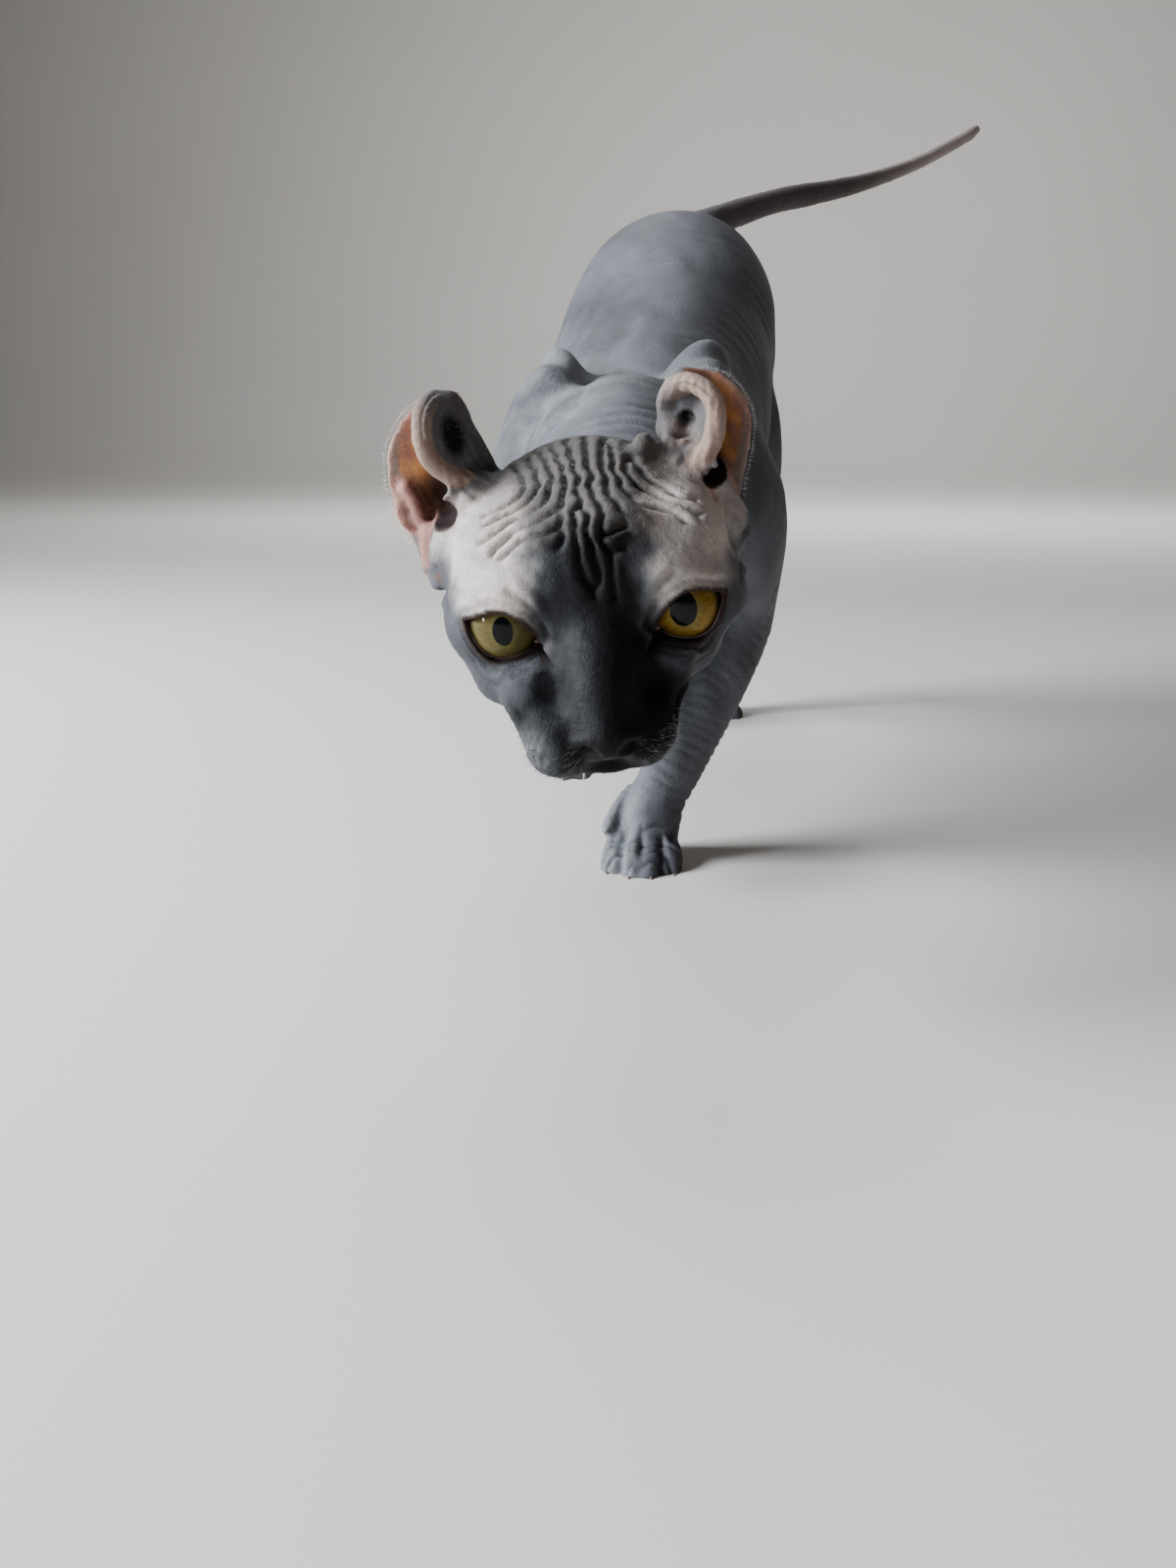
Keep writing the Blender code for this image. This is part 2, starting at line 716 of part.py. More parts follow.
def part_body(whole, frame, nodes, scratch):
    """Parts the fused cat into its named pieces, from the tips inwards."""
    for side, name in ((-1, "ear_right"), (1, "ear_left")):
        tilt = frame @ plane_frame((side * 33, 36, 21), (side * 0.62, 0.1, 0.78))
        part_off(whole, name, tilt, (-45, -45, 0), (45, 45, 70), nodes, scratch, EAR_SKIN)
    part_off(whole, "head", frame, (-80, -80, -80), (80, 56, 80), nodes, scratch)

    # Each leg is cut from the paw up: a point of the cut, the way the piece lies from it, and the box's
    # reach to the right, to the left, behind and ahead of that point.
    cuts = (
        ("forepaw_left", (10, -106, 23), (0.0, -0.2, -1), (30, 30, 30, 40)),
        ("foreleg_left_lower", (36, -73, 90), (-0.35, -0.45, -1), (44, 30, 40, 40)),
        ("foreleg_left_upper", (32, -98, 126), (0.62, 0.15, -1), (17, 40, 44, 50)),
        ("forepaw_right", (-17, -121, 75), (0.15, -1, -0.7), (22, 22, 26, 22)),
        ("foreleg_right_lower", (-34, -85, 98), (0.3, -1, -0.75), (22, 26, 30, 30)),
        ("foreleg_right_upper", (-30, -98, 126), (-0.62, 0.1, -1), (40, 17, 44, 50)),
        ("hindpaw_left", (24.5, 169, 45), (0, -0.12, -1), (30, 30, 30, 40)),
        ("hindleg_left_lower", (35, 112, 121), (-0.15, 0.9, -1), (30, 30, 40, 42)),
        ("hindleg_left_upper", (24, 92, 156), (0.45, 0.0, -1), (17, 50, 62, 48)),
        ("hindpaw_right", (-25, 114, 45), (0.05, -0.3, -1), (30, 30, 30, 40)),
        ("hindleg_right_lower", (-39, 78, 126), (0.15, 0.8, -1), (30, 30, 28, 42)),
        ("hindleg_right_upper", (-30, 78, 158), (-0.45, 0.0, -1), (50, 17, 62, 48)),
    )
    for name, at, toward, (right, left, behind, ahead) in cuts:
        low, high = (-right, -behind, 0), (left, ahead, 110)
        part_off(whole, name, plane_frame(at, toward), low, high, nodes, scratch)

    # The tail, the neck and the chest come off by planes: a point, the way the piece lies, and the reach.
    planes = (
        ("tail_tip", (112, 261, 312), (0.62, 0.72, 0.32), (30, 30)),
        ("tail_middle", (62, 200, 289), (0.6, 0.72, 0.28), (30, 30)),
        ("tail_base", (25, 155, 272), (0.61, 0.74, 0.28), (16, 16)),
        ("neck", (0, -132, 144), (0, -1, -0.22), (90, 90)),
        ("chest", (-4, -22, 145), (0, -1, -0.4), (100, 120)),
    )
    for name, at, toward, (wide, high) in planes:
        low, high = (-wide, -high, 0), (wide, high, 400)
        part_off(whole, name, plane_frame(at, toward), low, high, nodes, scratch)
    whole.name = "belly_and_rump"
    largest_only(whole)
    whole.data.materials.clear()
    whole.data.materials.append(material(*SKIN))
    bpy.context.scene.collection.objects.unlink(whole)
    nodes.objects.link(whole)


def centre_on_floor(nodes):
    """Moves all the nodes so that the origin lies on the floor under the middle of their box."""
    clouds = [points_of(obj) for obj in nodes.objects]
    low = np.min([cloud.min(0) for cloud in clouds], 0)
    high = np.max([cloud.max(0) for cloud in clouds], 0)
    shift = np.array([(low[0] + high[0]) / 2, (low[1] + high[1]) / 2, 0.0])
    for obj, cloud in zip(nodes.objects, clouds):
        set_points(obj, cloud - shift)
    print("moved by", -shift)


def main():
    """Builds the cat."""
    clear_scene()
    parts = new_collection("parts")
    scratch = new_collection("cutters")
    nodes = new_collection("sphynx_cat")
    frame = head_matrix()

    build_trunk(parts)
    build_forelegs(parts)
    build_hindlegs(parts)
    build_paw("fore_left", (6.4, -109, SOLE_DEPTH * -1), 4, 0, parts, 1.02, -1)
    build_paw("fore_right", (-14.5, -130, 50), 6, 22, parts, 0.94, 1)
    build_paw("hind_left", (24, 157, SOLE_DEPTH * -1), -2, 0, parts, 0.94)
    build_paw("hind_right", (-22, 91, SOLE_DEPTH * -1), 3, 0, parts, 0.94)
    build_tail(parts)
    build_head(parts, frame)

    whole = fuse(parts, "whole")
    remesh(whole, VOXEL)
    points = points_of(whole)
    local = in_head(points, frame)
    weights = np.full(len(points), 1.0)
    weights[points[:, 2] < 75] = 0.35
    weights[points[:, 1] > 165] = 0.3
    weights[(local[:, 1] < 70) & (local[:, 2] > -60)] = 0.4
    smooth(whole, weights, 32)
    points = model_body(points_of(whole))
    set_points(whole, model_head(points, frame))
    smooth(whole, weights * 0.6, 4)
    thin(whole, frame)

    make_eyes(whole, frame, nodes, scratch)
    make_mouth(whole, frame, scratch)
    for side, name in ((-1, "right"), (1, "left")):
        boolean(whole, make_ear(name, side, frame, scratch), "UNION")
    floor = block("floor", Matrix.Identity(4), (-400, -400, -60), (400, 400, 0), scratch)
    boolean(whole, floor, "DIFFERENCE")
    part_body(whole, frame, nodes, scratch)
    for obj in nodes.objects:
        obj.data.shade_smooth()
        obj.data.set_sharp_from_angle(angle=math.radians(50))
    centre_on_floor(nodes)


main()
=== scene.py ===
"""A life-size still model of a walking hairless cat with curled ears.

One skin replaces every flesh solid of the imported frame. The eyes, the wet
edges of the lids, the claws, the ear fuzz and the muzzle stubble are pieces of
their own. Inside the classes a length is in millimetres in the cat's own axes
(it walks towards -Y, +X is its left), and each finished mesh is set down in
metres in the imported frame.
"""

from __future__ import annotations

import logging
import math
import random
from collections.abc import Callable
from dataclasses import dataclass
from enum import Enum

import bmesh
import bpy
import numpy as np
from mathutils import Matrix, Vector
from mathutils.bvhtree import BVHTree


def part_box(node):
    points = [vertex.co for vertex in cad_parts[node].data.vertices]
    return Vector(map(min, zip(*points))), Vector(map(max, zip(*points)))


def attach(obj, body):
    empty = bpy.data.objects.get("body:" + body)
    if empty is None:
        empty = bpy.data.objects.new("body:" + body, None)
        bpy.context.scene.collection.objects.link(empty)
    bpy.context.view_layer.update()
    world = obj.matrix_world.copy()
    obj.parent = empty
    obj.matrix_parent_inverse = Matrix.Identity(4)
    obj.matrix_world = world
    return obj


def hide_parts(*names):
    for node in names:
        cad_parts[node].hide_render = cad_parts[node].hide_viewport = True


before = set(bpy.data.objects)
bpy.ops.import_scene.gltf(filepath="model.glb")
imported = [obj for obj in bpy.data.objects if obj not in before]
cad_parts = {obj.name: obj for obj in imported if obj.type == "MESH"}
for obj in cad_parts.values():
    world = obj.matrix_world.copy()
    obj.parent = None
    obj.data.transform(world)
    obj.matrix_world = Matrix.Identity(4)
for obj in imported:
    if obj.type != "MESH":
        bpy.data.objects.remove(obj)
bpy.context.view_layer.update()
LOG = logging.getLogger("cat")

MM = 0.001
EYES = ("eye_left", "eye_right")
HEAD_AT = Vector((7.6, -241.0, 112.0))
Piece = bpy.types.Object
Three = tuple[float, float, float]
Line = tuple[Three, ...]
Oval = tuple[Three, Three]
Socket = bpy.types.NodeSocket
Lay = Callable[[Three, np.ndarray], None]


class Side(Enum):
    """Which side of the cat a part is on, as a sign along X."""

    RIGHT = -1
    LEFT = 1


# ---------------------------------------------------------------- bench tools


def deselect() -> None:
    """Deselects everything, so an operator acts only on what is picked next."""
    bpy.ops.object.select_all(action="DESELECT")


def pick(piece: Piece) -> None:
    """Makes one piece the selected and active one.

    Args:
        piece: The piece.
    """
    deselect()
    piece.select_set(True)
    bpy.context.view_layer.objects.active = piece


def newest() -> Piece:
    """The piece that the last operator added."""
    return bpy.context.view_layer.objects.active


def bake_modifiers(piece: Piece) -> None:
    """Applies every modifier of a piece, in order.

    Args:
        piece: The piece.
    """
    pick(piece)
    for modifier in list(piece.modifiers):
        bpy.ops.object.modifier_apply(modifier=modifier.name)


def combine(piece: Piece, tool: Piece, operation: str) -> None:
    """Joins a closed tool to a piece or cuts it out of it, and removes the tool.

    Args:
        piece: The piece.
        tool: What is joined or cut out.
        operation: UNION or DIFFERENCE.
    """
    change = piece.modifiers.new("change", "BOOLEAN")
    change.operation, change.solver, change.object = operation, "MANIFOLD", tool
    bake_modifiers(piece)
    bpy.data.objects.remove(tool)


def points_of(piece: Piece) -> np.ndarray:
    """The piece's vertices as an N by 3 array.

    Args:
        piece: The piece.

    Returns:
        The vertices' places.
    """
    points = np.empty(len(piece.data.vertices) * 3)
    piece.data.vertices.foreach_get("co", points)
    return points.reshape(-1, 3)


def normals_of(piece: Piece) -> np.ndarray:
    """The piece's vertex normals as an N by 3 array.

    Args:
        piece: The piece.

    Returns:
        The vertices' normals.
    """
    normals = np.empty(len(piece.data.vertices) * 3)
    piece.data.vertex_normals.foreach_get("vector", normals)
    return normals.reshape(-1, 3)


def set_points(piece: Piece, points: np.ndarray) -> None:
    """Moves the piece's vertices to an N by 3 array of new places."""
    piece.data.vertices.foreach_set("co", points.ravel())
    piece.data.update()


def store(piece: Piece, name: str, values: np.ndarray) -> None:
    """Keeps one value for each vertex as an attribute of the piece."""
    piece.data.attributes.new(name, "FLOAT", "POINT").data.foreach_set("value", values)


def face_out(piece: Piece) -> None:
    """Turns every face of a closed piece outwards.

    Args:
        piece: The piece.
    """
    pick(piece)
    bpy.ops.object.mode_set(mode="EDIT")
    bpy.ops.mesh.select_all(action="SELECT")
    bpy.ops.mesh.normals_make_consistent(inside=False)
    bpy.ops.object.mode_set(mode="OBJECT")


def smooth(piece: Piece) -> None:
    """Shades a piece smoothly."""
    pick(piece)
    bpy.ops.object.shade_smooth()


def turned(degrees: float, axis: str) -> Matrix:
    """A turn about an axis."""
    return Matrix.Rotation(math.radians(degrees), 4, axis)


def globe(radius: float, segments: int, rings: int) -> Piece:
    """Adds a ball at the origin.

    Args:
        radius: Its radius.
        segments: Its faces round the equator.
        rings: Its faces from pole to pole.

    Returns:
        The ball.
    """
    deselect()
    bpy.ops.mesh.primitive_uv_sphere_add(segments=segments, ring_count=rings, radius=radius)
    return newest()


def lump(axes: Matrix, centre: Three, radii: Three) -> Piece:
    """Adds a rounded lump.

    Args:
        axes: The axes that its place is given in.
        centre: Its middle.
        radii: Its half sizes.

    Returns:
        The lump, in the cat's axes.
    """
    made = globe(1.0, 28, 18)
    made.data.transform(axes @ Matrix.Translation(centre) @ Matrix.Diagonal((*radii, 1.0)))
    return made


def circle(sides: int) -> list[tuple[float, float]]:
    """The cosine and sine of even steps round a circle."""
    turns = [2 * math.pi * step / sides for step in range(sides)]
    return [(math.cos(turn), math.sin(turn)) for turn in turns]


def tube(rings: int, sides: int, closed: bool = False) -> list[tuple[int, ...]]:
    """Spans rings of points that follow one another with faces.

    Args:
        rings: How many rings there are.
        sides: Points in each ring.
        closed: True where the last ring meets the first.

    Returns:
        The faces, as vertex numbers.
    """
    faces = []
    for k in range(rings if closed else rings - 1):
        n = (k + 1) % rings
        for s in range(sides):
            t = (s + 1) % sides
            faces.append((k * sides + s, k * sides + t, n * sides + t, n * sides + s))
    return faces


def soft_fold(route: np.ndarray, radius: float, sides: int = 14) -> Piece:
    """Makes a fold of skin along a route, round in section and with rounded ends.

    Args:
        route: M by 3 points.
        radius: Half its thickness.
        sides: Points round the section.

    Returns:
        The closed fold.
    """
    marks = np.concatenate([[0], np.cumsum(np.linalg.norm(np.diff(route, axis=0), axis=1))])
    inward = np.minimum(marks, marks[-1] - marks) / radius
    radii = radius * np.where(inward < 1, np.sqrt(np.clip(inward * (2 - inward), 0.02, 1)), 1)
    ahead = np.gradient(route, axis=0)
    side = np.cross(ahead[0], (0.3, 0.5, 1.0))
    points = []
    for at, way, half in zip(route, ahead, radii):
        way = way / np.linalg.norm(way)
        side = side - way * (side @ way)
        side /= np.linalg.norm(side)
        other = np.cross(way, side)
        points += [tuple(at + half * (side * c + other * s)) for c, s in circle(sides)]
    last = (len(route) - 1) * sides
    faces = tube(len(route), sides) + [tuple(range(sides)), tuple(range(last, last + sides))]
    fold = new_piece("fold", points, faces)
    face_out(fold)
    return fold


def new_piece(name: str, points: list, faces: list) -> Piece:
    """Makes a mesh object in the scene.

    Args:
        name: The piece's name.
        points: Its vertices.
        faces: Its faces, as vertex numbers.

    Returns:
        The object.
    """
    mesh = bpy.data.meshes.new(name)
    mesh.from_pydata(points, [], faces)
    mesh.update()
    piece = bpy.data.objects.new(name, mesh)
    bpy.context.scene.collection.objects.link(piece)
    return piece


def join(name: str, pieces: list[Piece]) -> Piece:
    """Joins pieces into the first of them.

    Args:
        name: The joined piece's name.
        pieces: What to join.

    Returns:
        The joined piece.
    """
    pick(pieces[0])
    for piece in pieces:
        piece.select_set(True)
    bpy.ops.object.join()
    joined = newest()
    joined.name = joined.data.name = name
    return joined


def keep_largest(piece: Piece) -> Piece:
    """Splits a piece into its loose surfaces and keeps the one with most vertices.

    Args:
        piece: The piece to clean.

    Returns:
        The surface that is kept, under the piece's name.
    """
    name = piece.name
    pick(piece)
    bpy.ops.mesh.separate(type="LOOSE")
    shells = sorted(bpy.context.selected_objects, key=lambda shell: -len(shell.data.vertices))
    for scrap in shells[1:]:
        bpy.data.objects.remove(scrap)
    shells[0].name = name
    return shells[0]


def set_weights(piece: Piece, name: str, weights: np.ndarray, steps: int = 20) -> None:
    """Puts weights in a vertex group, in even steps.

    Args:
        piece: The piece.
        name: The group's name.
        weights: One weight from 0 to 1 for each vertex.
        steps: How many levels the weights are rounded to.
    """
    group = piece.vertex_groups.new(name=name)
    levels = np.rint(np.clip(weights, 0, 1) * steps).astype(int)
    for level in range(steps + 1):
        chosen = np.flatnonzero(levels == level)
        if len(chosen):
            group.add(chosen.tolist(), level / steps, "REPLACE")


def relax(piece: Piece, weights: np.ndarray, rounds: int) -> None:
    """Smooths a piece where the weights say.

    Args:
        piece: The piece.
        weights: How far each vertex follows the smoothing, 0 to 1.
        rounds: How many times it is smoothed.
    """
    set_weights(piece, "relax", weights)
    easing = piece.modifiers.new("easing", "SMOOTH")
    easing.vertex_group, easing.factor, easing.iterations = "relax", 0.5, rounds
    bake_modifiers(piece)
    piece.vertex_groups.clear()


def ease(low: float, high: float, value: np.ndarray) -> np.ndarray:
    """A smooth step from 0 at low to 1 at high, or down where high is below low."""
    t = np.clip((value - low) / (high - low), 0.0, 1.0)
    return t * t * (3 - 2 * t)


def bell(away: np.ndarray, width: float) -> np.ndarray:
    """A soft bell, 1 where away is 0."""
    return np.exp(-((away / width) ** 2))


def ripple(points: np.ndarray, size: float, seed: int) -> np.ndarray:
    """Gentle irregular waves, about -1 to 1.

    Args:
        points: N by 3 places.
        size: The usual length of a wave.
        seed: Which pattern.

    Returns:
        One value for each place.
    """
    dice = np.random.default_rng(seed)
    total = np.zeros(len(points))
    for _ in range(7):
        way = dice.normal(size=3)
        way *= 2 * math.pi / size * dice.uniform(0.6, 1.5) / np.linalg.norm(way)
        total += np.sin(points @ way + dice.uniform(0, 6.28))
    return total / 3.7
    return total / 3.7

def furrows(phase: np.ndarray, sharpness: float) -> np.ndarray:
    """Furrows half a turn of the phase apart, 1 in their middles and 0 between them."""
    return (1 - np.abs(np.sin(phase))) ** sharpness


def jitter(dice: random.Random) -> Vector:
    """A random step of up to 1 along each axis."""
    return Vector((dice.uniform(-1, 1), dice.uniform(-1, 1), dice.uniform(-1, 1)))

def rounded(line: Line | np.ndarray, steps: int = 4) -> np.ndarray:
    """Runs a smooth curve through a line's points.

    Args:
        line: The points.
        steps: How many pieces each span is cut into.

    Returns:
        The curve's points, M by 3.
    """
    knots = np.array(line, float)
    padded = np.vstack([2 * knots[0] - knots[1], knots, 2 * knots[-1] - knots[-2]])
    curve = []
    for a, b, c, d in zip(padded, padded[1:], padded[2:], padded[3:]):
        for t in np.arange(steps) / steps:
            bend = 2 * b + (c - a) * t + (2 * a - 5 * b + 4 * c - d) * t**2
            curve.append(0.5 * (bend + (3 * b - a - 3 * c + d) * t**3))
    return np.array(curve + [knots[-1]])


def close_to(points: np.ndarray, curve: np.ndarray, reach: float) -> np.ndarray:
    """The numbers of the points inside a curve's box grown by reach.

    Args:
        points: N by 3 places.
        curve: M by 3 places.
        reach: How far the box is grown.

    Returns:
        The numbers of the points.
    """
    return np.flatnonzero(
        ((points > curve.min(0) - reach) & (points < curve.max(0) + reach)).all(1)
    )


def away_from(
    points: np.ndarray, curve: np.ndarray, reach: float = 8.0, closed: bool = False
) -> np.ndarray:
    """How far each point is from a curve, exact within reach.

    Args:
        points: N by 3 places.
        curve: M by 3 points of the curve.
        reach: Beyond this the distance is only a large number.
        closed: True where the last point joins the first.

    Returns:
        N distances.
    """
    best = np.full(len(points), 1e3)
    near = close_to(points, curve, reach)
    if not len(near):
        return best
    close = points[near]
    found = best[near]
    ends = np.vstack([curve[1:], curve[:1]]) if closed else curve[1:]
    for a, b in zip(curve, ends):
        span = b - a
        t = np.clip((close - a) @ span / max(span @ span, 1e-9), 0, 1)
        found = np.minimum(found, np.linalg.norm(close - a - t[:, None] * span, axis=1))
    best[near] = found
    return best


def mound(points: np.ndarray, centre: Three, radii: Three) -> np.ndarray:
    """A soft mound's height, 1 at its centre and 0 at its radii."""
    away = (((points - np.array(centre)) / np.array(radii)) ** 2).sum(1)
    return np.clip(1 - away, 0, 1) ** 2


# ---------------------------------------------------------------- where things are


@dataclass(frozen=True)
class Stance:
    """The axes of the head, and the step from the cat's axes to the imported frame."""

    yaw: float = 10.5
    pitch: float = 22.0
    roll: float = -7.0
    eye_apart: float = 21.4
    eye_outward: float = -2.0
    lid_slant: float = 23.5

    def head(self) -> Matrix:
        """The head's axes in the cat's axes."""
        turn = turned(self.yaw, "Z") @ turned(self.pitch, "X") @ turned(self.roll, "Y")
        return Matrix.Translation(HEAD_AT) @ turn

    def eye(self, side: Side) -> Matrix:
        """An eyeball's axes, with -Y along the gaze, tipped by the slant of the lids.

        Args:
            side: Which eye.

        Returns:
            The axes.
        """
        return (
            self.head()
            @ Matrix.Translation((side.value * self.eye_apart, 0, 0))
            @ turned(side.value * self.eye_outward, "Z")
            @ turned(-side.value * self.lid_slant, "Y")
        )

    def on_head(self, points: np.ndarray) -> np.ndarray:
        """Gives points of the cat's axes in the head's."""
        return into(self.head(), points)

    def off_head(self, points: np.ndarray) -> np.ndarray:
        """Gives points of the head's axes in the cat's."""
        ahead = np.array(self.head())
        return points @ ahead[:3, :3].T + ahead[:3, 3]

    def shift(self) -> Vector:
        """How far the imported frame's origin is from the cat's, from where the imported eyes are.

        Returns:
            The distance, in millimetres.
        """
        middle = Vector()
        for name in EYES:
            low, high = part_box(name)
            middle += (low + high) / 4
        step = middle / MM - HEAD_AT
        step.z = 0
        return step

    def set_down(self, piece: Piece) -> None:
        """Takes a piece from millimetres in the cat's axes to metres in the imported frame."""
        piece.data.transform(Matrix.Scale(MM, 4) @ Matrix.Translation(self.shift()))
        piece.data.update()


STANCE = Stance()


def into(axes: Matrix, points: np.ndarray) -> np.ndarray:
    """Gives points in another set of axes.

    Args:
        axes: The axes, as they stand in the cat's axes.
        points: N by 3 places in the cat's axes.

    Returns:
        The same places in those axes.
    """
    back = np.array(axes.inverted())
    return points @ back[:3, :3].T + back[:3, 3]


# ---------------------------------------------------------------- ears


@dataclass(frozen=True)
class Ear:
    """A curled pinna, swept up three routes in the head's axes: front fold, back and rear rim.

    The first folds, as many as pink says, are painted pink. The pale band of
    the front fold fades out between the two heights of fade, and dark is a
    spot of painted shade in the darkest hollow of the cup.
    """

    side: Side
    front: Line
    back: Line
    rim: Line
    edge: float
    folds: tuple[tuple[Line, float], ...]
    lumps: tuple[Oval, ...]
    canal: Oval
    pink: int
    fade: tuple[float, float]
    dark: Oval

    def sheet(self, rows: int = 52, columns: int = 34) -> np.ndarray:
        """The middle of the ear's wall.

        Args:
            rows: Steps from root to tip.
            columns: Steps from the front fold round the back to the rear rim.

        Returns:
            Points in the cat's axes, rows + 1 by columns + 1 by 3.
        """
        routes = []
        for line in (self.front, self.back, self.rim):
            curve = rounded(line, 6)
            marks, steps = np.linspace(0, len(curve) - 1, rows + 1), np.arange(len(curve))
            routes.append(np.stack([np.interp(marks, steps, axis) for axis in curve.T], 1))
        front, back, rim = (route[:, None, :] for route in routes)
        across = np.linspace(-1, 1, columns + 1)[None, :, None]
        grid = front * (across * (across - 1) / 2) + back * (1 - across**2)
        grid = grid + rim * (across * (across + 1) / 2)
        return STANCE.off_head(grid.reshape(-1, 3)).reshape(grid.shape)

    def wall(self) -> Piece:
        """Gives the sheet its thickness, thinner towards the rim and the tip.

        Returns:
            A closed shell, still in the cat's axes.
        """
        middle = self.sheet()
        rows, columns = middle.shape[0] - 1, middle.shape[1] - 1
        normal = np.cross(np.gradient(middle, axis=1), np.gradient(middle, axis=0))
        normal /= np.linalg.norm(normal, axis=2, keepdims=True) + 1e-9
        up = np.linspace(0, 1, rows + 1)[:, None]
        across = np.linspace(-1, 1, columns + 1)[None, :]
        thick = 2.0 + 0.9 * ease(0.25, 0.0, up) - 0.3 * ease(0.8, 1.0, up)
        thick = thick - 0.3 * ease(0.6, 1.0, across)
        inner = (middle + normal * thick[..., None] / 2).reshape(-1, 3)
        outer = (middle - normal * thick[..., None] / 2).reshape(-1, 3)
        count, wide = len(inner), columns + 1
        faces = []
        for i in range(rows):
            for j in range(columns):
                a, b = i * wide + j, i * wide + j + 1
                c, d = b + wide, a + wide
                faces += [(a, b, c, d), (count + d, count + c, count + b, count + a)]
        border = list(range(columns)) + [i * wide + columns for i in range(rows)]
        border += [rows * wide + j for j in range(columns, 0, -1)]
        border += [i * wide for i in range(rows, 0, -1)]
        for a, b in zip(border, border[1:] + border[:1]):
            faces.append((b, a, count + a, count + b))
        piece = new_piece("ear_wall", np.vstack([inner, outer]).tolist(), faces)
        face_out(piece)
        return piece

    def masses(self) -> list[Piece]:
        """The thick front fold, the folds at the root and the lumps in the cup.

        Returns:
            Closed pieces, in the cat's axes.
        """
        made = [lump(STANCE.head(), centre, radii) for centre, radii in self.lumps]
        for line, radius in ((self.front, self.edge), *self.folds):
            made.append(soft_fold(STANCE.off_head(rounded(line, 10)), radius))
        return made


